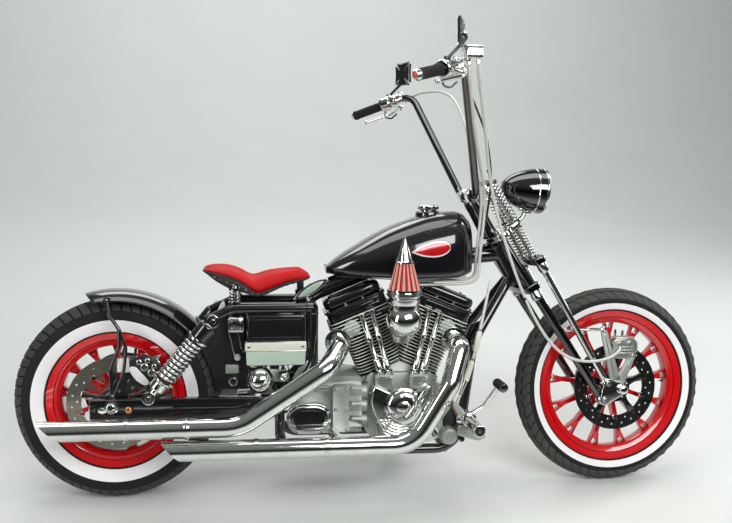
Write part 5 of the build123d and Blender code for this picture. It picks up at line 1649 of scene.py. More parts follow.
class CHOPPER_OT_suspension(Operator):
    """Black box swingarm, shocks with bright coils, and the rear axle and caliper"""
    bl_idname = "chopper.suspension"
    bl_label = "Swingarm, shocks and rear brake"

    def execute(self, context):
        rail = plate([(-67, 283), (-67, 346), (300, 346), (470, 342), (498, 330), (498, 306), (470, 294),
            (300, 283)], -150, -118, 6, 4, 3)
        post = plate([(88, 340), (142, 340), (130, 372), (100, 372)], -154.8, -148, 4, 1.5)
        lug = plate([(-64, 300), (-64, 328), (-48, 332), (-48, 296)], -156, -149, 4, 1.5)
        bridge = block((60, 238, 50), (410, 0, 317), 5, 3)
        pivots = [rod((478, -158, 318), (478, -104, 318), 12, edge=2),
            knob([(0, 0), (16, 0), (16, 5), (11, 8), (0, 8)], 1.5, rightward((478, -150, 318)), 6)]
        adjuster = [rod((-67, -134, 314), (-71.5, -134, 314), 7, edge=1, steps=6)]
        badge = bolt(rightward((-28, -150, 314)), 9, 5)
        copper = knob([(0, 0), (12, 0), (12, 7), (8, 10), (0, 10)], 1.5, rightward((52, -150, 314)), 6)
        rib = plate([(180, 300), (186, 330), (420, 328), (430, 304)], -151.4, -149, 8, 0.8)
        both = pair(rail, post, lug, rib)
        bright = pair(*(pivots + adjuster + badge))
        piece("swingarm", [(both + [bridge], "gloss_black"), (bright, "chrome"), (copper, "copper")])

        run = (SHOCK_TOP - SHOCK_BOTTOM).normalized()
        length = (SHOCK_TOP - SHOCK_BOTTOM).length
        place = facing(SHOCK_BOTTOM + Vector((0, -170, 0)), run)
        inner = turned([(0, 14), (12, 14), (12, length - 14), (0, length - 14)], place, 24)
        low_cup = collar([(12, 34), (25, 34), (27, 38), (27, 60), (36, 66), (36, 71), (24, 73), (12, 73)], 2,
            place, 40)
        high_can = collar([(12, 238), (31, 238), (31, 284), (26, 291), (12, 291)], 3, place, 40, corners=3)
        sleeve = turned([(12, 70), (23, 70), (23, 236), (12, 236)], place, 32, closed=True)
        bands = [collar([(12, 229), (37, 229), (37, 238), (12, 238)], 2, place, 40)]
        winding = coil(place @ Vector((0, 0, 73)), place @ Vector((0, 0, 231)), 32, 5.4, 10.2, 24, 12)
        eyes, bushes, heads = [], [], []
        for centre in (SHOCK_BOTTOM, SHOCK_TOP):
            spot = rightward(centre + Vector((0, -170, 0)))
            eyes.append(collar([(8, -15), (20, -15), (20, 15), (8, 15)], 2, spot, 36))
            bushes.append(turned([(0, -15.1), (12, -15.1), (12, 15.4), (0, 15.4)], spot, 32))
            heads += bolt(spot @ at(0, 0, 15.3), 9, 6)
        groups = [([low_cup, *eyes, inner], "chrome"), ([high_can], "gloss_black"), (bands, "chrome"),
            ([sleeve], "satin_black"), (bushes, "steel"), (heads, "chrome")]
        piece("rear_shocks", [(pair(*forms), look) for forms, look in groups],
            name="shocks_dressed")
        piece("shock_springs", [(pair(winding), "chrome")])

        axle = rod((0, -160, 323), (0, 160, 323), 11, edge=1)
        end = rightward((0, -150.2, 323))
        nuts = [knob([(0, 0), (18, 0), (19, 2), (19, 14), (15, 20), (9, 22), (0, 22)], 1.5, end, 6)]
        washers = [turned([(0, 0), (21, 0), (21, 2), (0, 2)], end, 40)]
        piece("rear_axle", [([axle] + pair(*(nuts + washers)), "chrome")])

        carrier = plate([(-30, 345), (30, 345), (120, 395), (150, 440), (110, 480), (60, 470)], -117.8, -109,
            14, 2)
        jaw = [(60, 394), (74, 462), (112, 472), (146, 448), (138, 400), (100, 388)]
        body = plate(jaw, -126, -107.4, 10, 3, 3)
        far_side = plate(jaw, -88.6, -80, 10, 3)
        bridge = block((54, 30, 10), (118, -100, 466), 3, 2, tilt(-12, "Y"))
        caps = [knob([(0, 0), (13, 0), (13, 4), (10, 6), (0, 6)], 1.5, rightward((x, -125, z)), 32)
            for x, z in ((98, 442), (120, 424))]
        panel = plate([(51, 436), (56, 446), (72, 444), (97, 416), (113, 396), (108, 386), (96, 385),
            (74, 400), (60, 418)], -131, -125.6, 6, 1.6, 2)
        tag = plate([(15, 470), (51, 472), (52, 426), (14, 427)], -124, -119, 3, 1)
        studs = [knob([(0, 0), (9, 0), (9, 4), (6, 6), (0, 6)], 1.5, rightward((x, -125, z)), 28)
            for x, z in ((82, 458), (108, 462), (128, 444), (134, 420))]
        screws = screws_at(-117, ((20, 366), (-14, 358), (48, 398), (60, 376)), 5, 6)
        nipple = rod((134, -112, 458), (146, -112, 478), 4, 3)
        piece("rear_caliper", [([far_side, bridge], "chrome"), ([carrier, body], "satin_black"),
            (caps + studs, "steel"), ([panel, tag], "white_paint"), (screws, "steel"), (nipple, "steel")])
        return {"FINISHED"}


class CHOPPER_OT_boxes(Operator):
    """Battery box with its pale band and blank plate, relay box, and the leaf cover"""
    bl_idname = "chopper.boxes"
    bl_label = "Battery and relay boxes"

    def execute(self, context):
        box = block((185, 242, 163), (504.5, -17, 522.5), 6, 3)
        cover = plate([(418, 520), (418, 599), (592, 599), (592, 520)], -141, -136, 10, 3, 3)
        grooves = [block((158, 3, 2.4), (505, -141.4, z), 1, 1) for z in (532, 588)]
        band = plate([(408, 490), (408, 516), (600, 516), (600, 490)], -142.6, -100, 5, 2.2, 2)
        lower = plate([(413, 444), (411, 489), (598, 489), (596, 444)], -141.6, -137, 5, 1.6, 2)
        trim = [rod((409, -142, z), (599, -142, z), 1.6, edge=1, steps=12) for z in (489, 517)]
        screws = [cap_screw(rightward((x, -142, 503)), 4.5, 4) for x in (420, 588)]
        hoops = [tube([(x, -136, 604), (x, -60, 606.5), (x, 60, 606.5), (x, 100, 604)], 2.4, 20, 10)
            for x in (450, 560)]
        piece("battery_box", [([box, cover], "gloss_black"), (grooves, "satin_black"), (band, "pale_band"),
            (lower, "pale_plate"), (trim + screws, "chrome"), (hoops, "satin_black")])
        # Painted shade: a flat black sheet inside the frame stands in for the shaded inner side of the frame
        # and swingarm; the stays, flask, cock, lump and ring are fittings in front of it
        shade_sheet = plate([(300, 562), (352, 600), (422, 606), (422, 352), (309, 352), (301, 400), (288, 440),
            (270, 478), (262, 500)], -62, -54, 8, 2)
        stays = [rod((355, -66, 545), (374, -66, 462), 3, steps=12),
            rod((385, -66, 550), (396, -66, 484), 3, steps=12)]
        flask = knob([(0, 0), (10, 0), (11, 4), (11, 16), (7, 20), (0, 20)], 2, rightward((383, -62, 458)),
            28)
        cock = knob([(0, 0), (7, 0), (7, 12), (0, 12)], 1.5, rightward((404, -62, 480)), 6)
        lump = block((44, 16, 30), (366, -68, 420), 4, 3)
        ring = collar([(9, 0), (15, 0), (15, 12), (9, 12)], 1.5, rightward((368, -62, 378)), 32)
        piece(None, [(shade_sheet, "satin_black"), (stays, "steel"), (flask, "white_paint"), (cock, "chrome"),
            (lump, "cast"), (ring, "steel")], name="inner_guard")
        shell = block((49, 50, 46), (380.5, -125, 573), 5, 3)
        lid = plate([(361, 556), (361, 590), (400, 590), (400, 556)], -151.6, -149, 6, 1, 2)
        screws = [cap_screw(rightward((x, -151, z)), 3, 3) for x in (367, 394) for z in (562, 584)]
        piece("relay_box", [([shell, lid], "chrome"), (screws, "steel")])
        place = Matrix(((0.8486, 0, -0.529, 618), (0, 1, 0, -62), (0.529, 0, 0.8486, 676), (0, 0, 0, 1)))
        leaf = [(-66, 0), (-36, -13), (0, -17), (36, -13), (66, 0), (36, 13), (0, 17), (-36, 13)]
        rim = plate(leaf, -14, -2, 12, 2, 3, place)
        face = plate([(x * 0.78, z * 0.62) for x, z in leaf], -15.4, -13, 9, 1, 2, place)
        balls = [ball(5.6, place @ at(x, -8, 0), 24) for x in (-60, 60)]
        ribs = [rod(place @ Vector((x, -15.6, -7)), place @ Vector((x + 6, -15.6, 7)), 1.1, edge=0.4, steps=8)
            for x in range(-34, 34, 7)]
        piece("side_leaf", [([rim] + balls, "chrome"), (face, "pale_plate"), (ribs, "cast")])
        return {"FINISHED"}


class CHOPPER_OT_foot_controls(Operator):
    """Forward foot controls: cast bracket, peg, pedal and pad on both sides"""
    bl_idname = "chopper.foot_controls"
    bl_label = "Foot controls"

    def execute(self, context):
        for side, name in ((-1, "right"), (1, "left")):
            bracket = plate([(1030, 190), (1010, 270), (1064, 330), (1096, 300), (1130, 268), (1110, 236)],
                -158, -146, 14, 3, 3)
            window = plate([(1042, 216), (1034, 262), (1062, 300), (1086, 262), (1074, 236)], -160, -157, 10,
                1)
            mount = rod((1098, -142.4, 245), (1098, -150, 245), 15, edge=2)
            bolts = screws_at(-158, ((1098, 245), (1064, 316), (1034, 204)), 6, 6)
            boss = knob([(0, 0), (28, 0), (28, 26), (24, 36), (20, 38), (12, 38), (11, 34), (0, 34)], 2,
                rightward((1052, -158, 214)), 48)
            arm = rod((1080, -166, 262), (1116, -178, 266), 15, edge=3)
            stem = knob([(0, 0), (25, 0), (25, 32), (22, 39), (0, 39)], 2, rightward((1116, -157, 266)), 48)
            outer = rightward((1116, -195, 266))
            peg = knob([(0, 0), (19, 0), (19, 133), (17, 135), (0, 135)], 1.5, outer, 48)
            groove = [collar([(18, z), (18.95, z), (18.95, z + 6), (18, z + 6)], 0.8, outer, 40)
                for z in range(30, 124, 12)]
            end_ring = turned([(6, 135.3), (13.5, 135.3), (14.5, 134.6), (14.5, 134), (6, 134)], outer, 40,
                closed=True)
            heel = plate([(1080, 246), (1078, 214), (1150, 192), (1176, 204), (1162, 232), (1112, 248)], -178,
                -162, 10, 3)
            pedal = tube([(1090, -172, 262), (1160, -200, 310), (1200, -235, 388)], 8, [30], 24)
            pad = rod((1200, -200, 388), (1200, -290, 388), 12.5, edge=2)
            sleeve = [collar([(12.4, 0), (15, 0), (15, 6.5), (12.4, 6.5)], 1,
                rightward((1200, -208 - step * 8.6, 388)), 32) for step in range(9)]
            link = [rod((1044, -150, 190), (1088, -170, 250), 5),
                rod((1052, -166, 330), (1082, -168, 272), 4)]
            knobs = [rod((1040, -150, 184), (1046, -153, 193), 8, edge=2),
                rod((1050, -166, 334), (1055, -166, 325), 7, edge=2)]
            groups = [([bracket, boss, heel], "cast"), (window, "satin_black"),
                ([mount, arm, stem], "chrome"), (bolts, "chrome"), (peg, "chrome"), (groove, "rubber"),
                (end_ring, "rubber"), ([pedal, pad], "chrome"), (sleeve, "rubber"), (link, "brown_rod"),
                (knobs, "copper")]
            parts = []
            for forms, look in groups:
                forms = forms if isinstance(forms, list) else [forms]
                parts.append(([flipped(form) for form in forms] if side > 0 else forms, look))
            piece(name + "_foot_control", parts)
        return {"FINISHED"}


class CHOPPER_OT_clutch_cable(Operator):
    """Braided clutch cable down the frame, with two fat adjusters"""
    bl_idname = "chopper.clutch_cable"
    bl_label = "Clutch cable"

    def execute(self, context):
        route = [(1206, -82, 700), (1166, -116, 548), (1149, -124, 480), (1128, -130, 410), (1085, -134, 300),
            (1040, -134, 198), (960, -142, 186), (800, -160, 190), (700, -166, 214), (684, -152, 240)]
        line = cable(route, 5)
        runs = [((1164, -119, 542), (1147, -124, 470)), ((1138, -127, 446), (1118, -131, 384))]
        sleeves = [knob([(0, 0), (6, 0), (6, 4), (9.5, 7), (9.5, 68), (6, 72), (0, 72)], 1.2,
            facing(start, Vector(end) - Vector(start)), 24) for start, end in runs]
        cups = [knob([(0, -5), (8, -5), (8, 1), (0, 1)], 1, facing(start, Vector(end) - Vector(start)), 6)
            for start, end in runs]
        cups.append(rod((1117, -131, 382), (1098, -133, 334), 8.5, 5.5, 2))
        piece("clutch_cable", [(line, "braid"), (sleeves, "pale_band"), (cups, "steel")])
        return {"FINISHED"}


# Fork


def level(points, low, high, corner=0, edge=1.0, segments=2):
    """Flat outline of (ahead, side) points on the straight fork, from one height on its axis to another."""
    return plate(points, -high, -low, corner, edge, segments, STRAIGHT @ ALONG_Y)


def wrapped(circles, steps=20):
    """Outline drawn tightly round circles given as (x, z, radius)."""
    points = [Vector((x + radius * cos(tau * n / steps), z + radius * sin(tau * n / steps)))
        for x, z, radius in circles for n in range(steps)]
    return [points[number] for number in convex_hull_2d(points)]


def local_plate(circles, low, high, edge=1.0, segments=2):
    """Plate round circles given on the straight fork as (ahead, up, radius), from one Y to another."""
    places = [(fork_point(ahead, up).x, fork_point(ahead, up).z, radius) for ahead, up, radius in circles]
    return plate(wrapped(places), low, high, 0, edge, segments)


LEG_SIDE, SPRING_SIDE = 94, 42


class CHOPPER_OT_springer(Operator):
    """Springer fork: fixed and moving legs, coil springs on guide rods, yokes and rockers"""
    bl_idname = "chopper.springer"
    bl_label = "Springer fork"

    def execute(self, context):
        stem = knob([(0, 446), (14, 446), (14, 664), (0, 664)], 1, STRAIGHT, 32)
        crown = level([(-18, -26), (-12, -112), (36, -112), (36, 112), (-12, 112), (-18, 26)], 441, 465, 10,
            3, 3)
        leg = rod(fork_point(38, 0, -LEG_SIDE), fork_point(2, 641, -LEG_SIDE), 14, 17, 1, 40)
        sockets = [collar([(14, 0), (20, 0), (20, 6), (16, 30), (14, 30)], 2,
            facing(fork_point(12.5, 411, -LEG_SIDE), STEER_UP), 32)]
        foot = knob([(0, -15), (18, -15), (18, 15), (0, 15)], 3, across(fork_point(40, 0, -LEG_SIDE)), 40)
        bolts = [cap_screw(STRAIGHT @ at(36, y, 453) @ tilt(90, "Y"), 7, 6) for y in (-LEG_SIDE, LEG_SIDE)]
        piece("rigid_fork", [([stem, crown], "dark_chrome"), (pair(leg), "dark_chrome"),
            (pair(*(sockets + [foot])), "chrome"), (bolts, "chrome")], "fork")

        clamp = level([(-34, -60), (-10, -112), (24, -112), (52, -70), (96, -64), (96, 64), (52, 70),
            (24, 112), (-10, 112), (-34, 60)], 642, 661, 12, 3, 3)
        nut = knob([(0, 661), (24, 661), (24, 664), (20, 666), (20, 677), (0, 677)], 1.5, STRAIGHT, 6)
        cap = turned([(15, 677), (13, 681), (8, 684), (0, 685)], STRAIGHT, 32)
        acorns = [knob([(0, 661), (15, 661), (15, 664), (12, 665), (12, 673), (8, 679), (0, 681)], 1,
            STRAIGHT @ at(3, y, 0), 24) for y in (-LEG_SIDE, LEG_SIDE)]
        collars = [collar([(9.4, 638), (22, 638), (23, 640), (23, 663), (22, 665), (9.4, 665)], 1,
            STRAIGHT @ at(78, y, 0), 32) for y in (-SPRING_SIDE, SPRING_SIDE)]
        piece("top_clamp", [([clamp, nut, cap] + acorns, "chrome"), (collars, "dark_chrome")],
            "fork")

        moving = rod(fork_point(78, 52, -LEG_SIDE), fork_point(78, 520, -LEG_SIDE), 11.5, edge=1, steps=36)
        eye = knob([(0, -13), (15, -13), (15, 13), (0, 13)], 3, across(fork_point(78, 44, -LEG_SIDE)), 36)
        socket = collar([(11.5, 0), (17, 0), (17, 20), (14, 34), (11.5, 34)], 2,
            facing(fork_point(78, 508, -LEG_SIDE), -STEER_UP), 32)
        yoke = level([(58, -109), (98, -109), (98, 109), (58, 109)], 506, 530, 12, 4, 3)
        guide = rod(fork_point(78, 510, -SPRING_SIDE), fork_point(78, 824, -SPRING_SIDE), 7, edge=1)
        top = collar([(7, 808), (19, 808), (19.4, 810), (19.4, 815), (16, 819), (9, 821), (7, 821)], 1,
            STRAIGHT @ at(78, -SPRING_SIDE, 0), 32)
        tip = knob([(0, 816), (9, 816), (9, 823), (5, 824), (0, 824)], 1, STRAIGHT @ at(78, -SPRING_SIDE, 0),
            6)
        pins = [cap_screw(STRAIGHT @ at(98, y, 518) @ tilt(90, "Y"), 6, 5) for y in (-LEG_SIDE, LEG_SIDE)]
        piece("front_fork_legs", [(pair(moving, eye, socket, guide), "chrome"), (yoke, "dark_chrome"),
            (pair(top), "gloss_black"), (pair(tip) + pins, "chrome")], "fork",
            name="front_legs_dressed")

        windings = []
        for low, high, turns in ((530.4, 641.6, 9.6), (665.2, 807.8, 10.4)):
            winding = coil(fork_point(78, low, -SPRING_SIDE), fork_point(78, high, -SPRING_SIDE), 21, 3.1,
                turns, 22, 10)
            windings += pair(winding)
        piece("fork_springs", [(windings, "chrome")], "fork")

        rocker = local_plate([(40, 0, 17), (78, 44, 15), (110, 0, 19)], -119, -110, 2.5, 3)
        heads = []
        for ahead, up, radius in ((40, 0, 10), (78, 44, 9)):
            spot = rightward(fork_point(ahead, up, -119))
            heads += [*bolt(spot, radius, 7),
                turned([(0, 7.9), (radius * 0.6, 7.9), (radius * 0.5, 9.5), (0, 10)], spot, 24),
                rod(fork_point(ahead, up, -109), fork_point(ahead, up, -119), radius)]
        piece("fork_rockers", [(pair(rocker), "chrome"), (pair(*heads), "steel")], "fork",
            name="rockers_dressed")
        axle = rod(fork_point(110, 0, -128), fork_point(110, 0, 128), 10, edge=1)
        caps = knob([(0, 0), (16, 0), (16, 10), (13, 15), (7, 17), (0, 17)], 1.5,
            rightward(fork_point(110, 0, -119.2)), 32)
        piece("front_axle", [([axle] + pair(caps), "chrome")], "fork")
        return {"FINISHED"}


class CHOPPER_OT_front_brake(Operator):
    """Front caliper on its forked bracket, with a stay to the leg"""
    bl_idname = "chopper.front_brake"
    bl_label = "Front brake"

    def execute(self, context):
        hub = fork_point(110, 0)
        arms, ribs = [], []
        mounts = ((1598, 528), (1705, 440))
        for x, z in mounts:
            arms.append(plate(wrapped([(hub.x, hub.z, 20), (x, z, 11)]), -80, -73, 0, 1.6, 2))
            start, end = Vector((hub.x, -80.4, hub.z)), Vector((x, -80.4, z))
            ribs.append(rod(start.lerp(end, 0.16), start.lerp(end, 0.9), 2.6, 2, steps=12))
        boss = collar([(10.3, 0), (24, 0), (24, 4), (18, 6), (10.3, 6)], 1.5, rightward((hub.x, -78, hub.z)),
            40)
        outer = plate([(1626, 432), (1634, 494), (1700, 502), (1716, 486), (1712, 440), (1690, 425)], -86,
            -71.4, 10, 3, 3)
        inner = plate([(1632, 436), (1636, 492), (1700, 498), (1712, 484), (1708, 442), (1690, 430)], -52.6,
            -44, 10, 2, 2)
        bridge = [block((66, 42, 8), (1672, -65, 498), 3, 3), block((8, 42, 40), (1714, -65, 468), 3, 3)]
        ridges = [rod((1646, -87, z), (1702, -87, z), 2.4, edge=1.5, steps=12) for z in (448, 458, 468)]
        caps = [knob([(0, 0), (11, 0), (11, 3), (8, 5), (0, 5)], 1.2, rightward((x, -85.6, 478)), 28)
            for x in (1654, 1688)]
        bolts = screws_at(-80, mounts, 7, 7)
        bolts += [cap_screw(rightward((hub.x + dx, -84, hub.z + dz)), 4, 4)
            for dx, dz in ((-15, 8), (14, 10), (0, -17))]
        start, end = Vector((1598, -76, 528)), fork_point(22, 280, -76)
        stay = [rod(start, end, 4.4), rod(start.lerp(end, 0.12), start.lerp(end, 0.3), 6.4, steps=6),
            rod(start.lerp(end, 0.7), start.lerp(end, 0.88), 6.4, steps=6)]
        ends = [knob([(0, -6), (10, -6), (10, 6), (0, 6)], 2, across(point), 28) for point in (start, end)]
        banjo = [knob([(0, 0), (8, 0), (8, 7), (5, 9), (0, 9)], 1, rightward((1652, -84, 466)), 6),
            rod((1640, -76, 528), (1640, -76, 506), 5, 4), rod((1666, -76, 524), (1666, -76, 504), 5, 4)]
        piece("front_caliper", [(arms + [boss, inner], "cast"), (ribs, "polished_cast"),
            ([outer] + bridge, "polished_cast"), (ridges + caps, "polished_cast"),
            (bolts + stay + ends + banjo, "chrome")], "fork")
        return {"FINISHED"}


LAMP_TAIL, LAMP_RIM = Vector((1262, 0, 1003)), Vector((1402, 0, 992))


class CHOPPER_OT_headlight(Operator):
    """Bullet headlight in black plating, with a clear lens over its reflector"""
    bl_idname = "chopper.headlight"
    bl_label = "Headlight"

    def execute(self, context):
        place = facing(LAMP_TAIL, LAMP_RIM - LAMP_TAIL)
        rows = [(0, 20), (17, 38), (49, 57), (95, 72), (139, 76.6)]
        outer = [(0, 0), (9, 0.3), (16, 1.5)] + [(between(rows, step)[0], step) for step in range(4, 140, 5)]
        shell = turned(outer + [(74, 139), (72, 120), (60, 90), (0, 70)], place, 72)
        rim = collar([(73, 135), (78, 135.5), (79, 139), (78, 144), (73.5, 146), (72, 143)], 1.2, place, 72)
        crease = turned([(73.4, 108), (75.2, 110), (75.2, 112), (74.2, 114)], place, 72, closed=True)
        mount = tube([fork_point(96.2, 651), fork_point(126, 651), (1356, 0, 950)], 9, [14], 28)
        bracket = [knob([(0, 0), (15, 0), (15, 8), (9, 16), (0, 16)], 1.5, facing((1352, 0, 918), (0, 0, 1)),
            32), block((40, 30, 12), (1340, 0, 932), 4, 3)]
        bolts = [rod((1340, -18, 932), (1340, 18, 932), 6, edge=1.5, steps=6)]
        piece("headlight", [(shell, "dark_chrome"), ([rim, crease], "chrome"), (mount, "chrome"),
            (bracket + bolts, "chrome")], "fork")
        lens = turned([(0, 150), (24, 149.6), (48, 147.6), (66, 144.4), (72, 142.6), (72, 140), (48, 145.2),
            (24, 147.2), (0, 147.6)], place, 64)
        dish = turned([(0, 92), (18, 94), (36, 101), (54, 116), (70, 138), (71.6, 138), (60, 112), (0, 88)],
            place, 64)
        bulb = turned([(0, 128), (5, 126), (7, 120), (7, 96), (0, 92)], place, 24)
        piece("headlight_lens", [(lens, "glass"), (dish, "reflector"), (bulb, "white_paint")],
            "fork")
        return {"FINISHED"}


BAR_TIP, BAR_TOP, BAR_FOOT = Vector((850, -504, 1290)), Vector((1030, -338, 1352)), Vector((1148, -84, 976))
HAND_RUN = (BAR_TIP - BAR_TOP).normalized()
HAND_LENGTH = (BAR_TIP - BAR_TOP).length


def hand_point(along, out=(0, 0, 0)):
    """Point along the right end of the bar, from its top bend, moved out by a shift."""
    return BAR_TOP + HAND_RUN * along + Vector(out)


def cross_outline(reach):
    """Cross whose four arms flare and end in shallow curves."""
    points = []
    for quarter in range(4):
        turn = Matrix.Rotation(quarter * pi / 2, 2)
        for x, z in ((reach, -reach * 0.82), (reach * 0.93, 0), (reach, reach * 0.82),
                (reach * 0.4, reach * 0.34), (reach * 0.34, reach * 0.4)):
            points.append(turn @ Vector((x, z)))
    return points


class CHOPPER_OT_handlebar(Operator):
    """High handlebar on slanted risers, with grips, controls, levers and cross-shaped mirrors"""
    bl_idname = "chopper.handlebar"
    bl_label = "Handlebar"

    def execute(self, context):
        left = [point * Vector((1, -1, 1)) for point in (BAR_FOOT, BAR_TOP, BAR_TIP)]
        bar = tube([BAR_TIP, BAR_TOP, BAR_FOOT] + left, 12.7, [70, 60, 60, 70], 32, 14)
        risers, clamps, screws = [], [], []
        for y in (-44, 44):
            start, end = fork_point(-4, 662, y), fork_point(-1, 790, y)
            risers.append(knob([(0, 0), (19, 0), (19, 8), (16.5, 20), (15, 90), (17, 110), (15, 128),
                (0, 128)], 4, facing(start, end - start), 36))
            spot = across((BAR_FOOT.x, y, BAR_FOOT.z))
            clamps.append(collar([(12.8, -17), (23, -17), (24, -15), (24, 15), (23, 17), (12.8, 17)], 1, spot,
                40))
            clamps.append(block((9, 34, 46), (BAR_FOOT.x - 13, y, BAR_FOOT.z), 2, 2))
            for x in (-18, 16):
                screws.append(cap_screw(at(BAR_FOOT.x + x, y, BAR_FOOT.z + 12), 4.5, 10))
        piece("handlebar", [(bar, "dark_chrome"), (risers, "gloss_black"), (clamps, "chrome"),
            (screws, "steel")], "fork")

        grip_place = facing(hand_point(HAND_LENGTH - 118), HAND_RUN)
        ribs = [(12.9, 0), (17, 0), (17, 4)]
        for step in range(8):
            low = 10 + step * 12
            ribs += [(14.8, low), (14.8, low + 3), (16.6, low + 4), (16.6, low + 9)]
        grip = turned(ribs + [(17, 112), (17, 118), (12.9, 118)], grip_place, 40, closed=True)
        band = knob([(0, 117), (17, 117), (17, 120), (11, 128), (0, 128)], 1.5, grip_place, 36)
        tip = knob([(0, 127), (9.5, 127), (8, 131), (4, 132), (0, 132)], 1.5, grip_place, 36)
        piece("grips", [(pair(grip), "rubber"), (pair(band), "chrome"), (pair(tip), "amber")],
            "fork")

        spot = facing(hand_point(86), HAND_RUN)
        housing = collar([(12.9, 0), (24, 0), (27, 3), (27, 18), (27, 34), (24, 39), (12.9, 39)], 2, spot, 44,
            corners=3)
        body = collar([(12.9, -52), (17, -52), (20, -48), (20, -26), (23, -22), (23, -3), (20, 0), (12.9, 0)],
            2, spot, 36)
        bosses = [rod(hand_point(46, (0, 0, 12)), hand_point(46, (0, 0, 27)), 9, edge=2),
            rod(hand_point(70, (-10, 0, 8)), hand_point(70, (-27, 0, 17)), 7, edge=2)]
        parting = turned([(27, 17.4), (27.3, 17.6), (27.3, 18.6), (27, 18.8)], spot, 44, closed=True)
        lever_tip = hand_point(246.5, (44, -34, -22))
        lever = tube([hand_point(92, (40, -16, -16)), hand_point(140, (62, -40, -20)), lever_tip], 6.2, [60],
            20)
        lever_end = ball(8.5, at(*lever_tip))
        perch = rod(hand_point(96), hand_point(92, (46, -18, -16)), 13, 10, 3)
        pivot = rod(hand_point(92, (42, -17, -26)), hand_point(92, (42, -17, -4)), 8, edge=1.5)
        switch = [block((18, 12, 16), tuple(hand_point(112, (-20, 10, 6))), 3, 3),
            rod(hand_point(110, (-26, 8, -2)), hand_point(110, (-33, 10, -2)), 4.5, edge=1)]
        hook = tube([hand_point(112, (0, 0, -22)), hand_point(116, (-4, 2, -48)),
            hand_point(98, (10, -6, -56)), hand_point(84, (20, -10, -42))], 3.2, [12, 12], 12)
        master = block((50, 68, 32), (1033, -406, 1368), 5, 3)
        lid = block((52, 70, 6), (1033, -406, 1386.6), 2, 2)
        screws = [cap_screw(at(1033 + x, -406 + y, 1387.5), 2.8, 2.4) for x in (-20, 20) for y in (-28, 28)]
        sight = rod((1008.6, -406, 1366), (1006.8, -406, 1366), 8, edge=0.6)
        unions = [rod((x, y, 1352), (x, y, 1338), 6, edge=1, steps=6)
            for x, y in ((1046, -424), (1024, -404))]
        both = pair(housing, body, lever, lever_end, perch, pivot, *bosses)
        piece("hand_controls", [(both + [master, lid] + unions, "chrome"), (pair(parting), "rubber"),
            (pair(*switch), "satin_black"), (pair(hook), "dark_chrome"), (screws, "steel"),
            (sight, "mirror_glass")], "fork")

        stem = tube([hand_point(106, (2, 0, 24)), (1036, -388, 1432), (1012, -380, 1432)], 5.4, [14], 18)
        knuckle = ball(8, at(1016, -381, 1432), 24)
        turn = at(1008, -380, 1432) @ tilt(-26, "Z") @ at(-1008, 0, 0) @ tilt(-90, "Z")
        shell = plate(cross_outline(43), 1005, 1012, 3, 1.8, 2, turn)
        glass = plate(cross_outline(40), 1004, 1005.4, 3, 0.4, 1, turn)
        foot = rod(hand_point(106, (1, 0, 22)), hand_point(106, (4, -2, 34)), 8, 7, 1.5)
        piece("mirrors", [(pair(stem, foot), "gloss_black"), (pair(knuckle), "chrome"),
            (pair(shell), "dark_chrome"), (pair(glass), "mirror_glass")], "fork")
        return {"FINISHED"}


def in_metres(place, points):
    return [place @ Vector(point) for point in points]


class CHOPPER_OT_lines(Operator):
    """Braided hoses and cables from the handlebar to the front brake and under the tank"""
    bl_idname = "chopper.lines"
    bl_label = "Hoses and cables"

    def execute(self, context):
        hose = [(1046, -424, 1351), (1046, -424, 1322), (1080, -352, 1244), (1122, -262, 1150),
            (1160, -176, 1050), (1194, -136, 940), (1236, -126, 810), (1300, -126, 640), (1376, -126, 506),
            (1452, -122, 440), (1540, -116, 424), (1612, -112, 438), (1652, -104, 466), (1652, -84, 466)]
        loop = [(1062, -300, 1270), (1100, -230, 1240), (1152, -160, 1180), (1186, -110, 1090),
            (1196, -90, 1010), (1190, -84, 950), (1184, -80, 900)]
        clips = []
        for x, y, z, direction in ((1300, -126, 640, (76, 0, -134)), (1160, -176, 1050, (34, 40, -110))):
            clips.append(collar([(4, -4), (6.5, -4), (6.5, 4), (4, 4)], 1, facing((x, y, z), direction), 20))
        piece("fork_lines", [(cable(hose, 5), "braid"), (cable(loop, 3.6, 10), "satin_black"),
            (clips, "rubber")], "fork", name="brake_hose")

        first = [(1024, -404, 1351), (1024, -404, 1322), (1056, -336, 1236), (1090, -256, 1160),
            (1136, -160, 1070), (1164, -118, 1000), (1176, -96, 940)]
        second = [(1016, 372, 1330), (1040, 340, 1352), (1074, 300, 1358), (1104, 200, 1348),
            (1118, 80, 1312), (1118, -50, 1220), (1134, -96, 1090), (1154, -114, 1000), (1166, -90, 940)]
        joined = [in_metres(FORK, first)
            + in_metres(BIKE, [(1166, -86, 770), (1166, -86, 712), (1138, -84, 692), (1090, -84, 690),
            (950, -84, 688)]), in_metres(FORK, second) + in_metres(BIKE,
            [(1158, -70, 776), (1158, -68, 716), (1130, -66, 702), (1088, -62, 701), (930, -64, 699)])]
        forms = [cable([point / MM for point in line], 5) for line in joined]
        crossing = piece(None, [(forms, "braid")], "fork", "control_cables",
            Matrix.Scale(MM, 4))
        crossing.parent = None
        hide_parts("frame_lines")
        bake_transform(crossing)
        return {"FINISHED"}


# Stage, settings and panel


BACKDROP = (0.78, 0.8, 0.78)


def sheet_light(name, size, power, place, target, tint=(1, 1, 1)):
    """Soft rectangular lamp aimed at a point, in the frame's metres."""
    lamp = bpy.data.lights.new(name, "AREA")
    lamp.shape, lamp.size, lamp.size_y, lamp.energy, lamp.color = "RECTANGLE", *size, power, tint
    made = shown(name, lamp)
    made.location = place
    made.rotation_euler = (Vector(target) - Vector(place)).to_track_quat("-Z", "Y").to_euler()
    return made


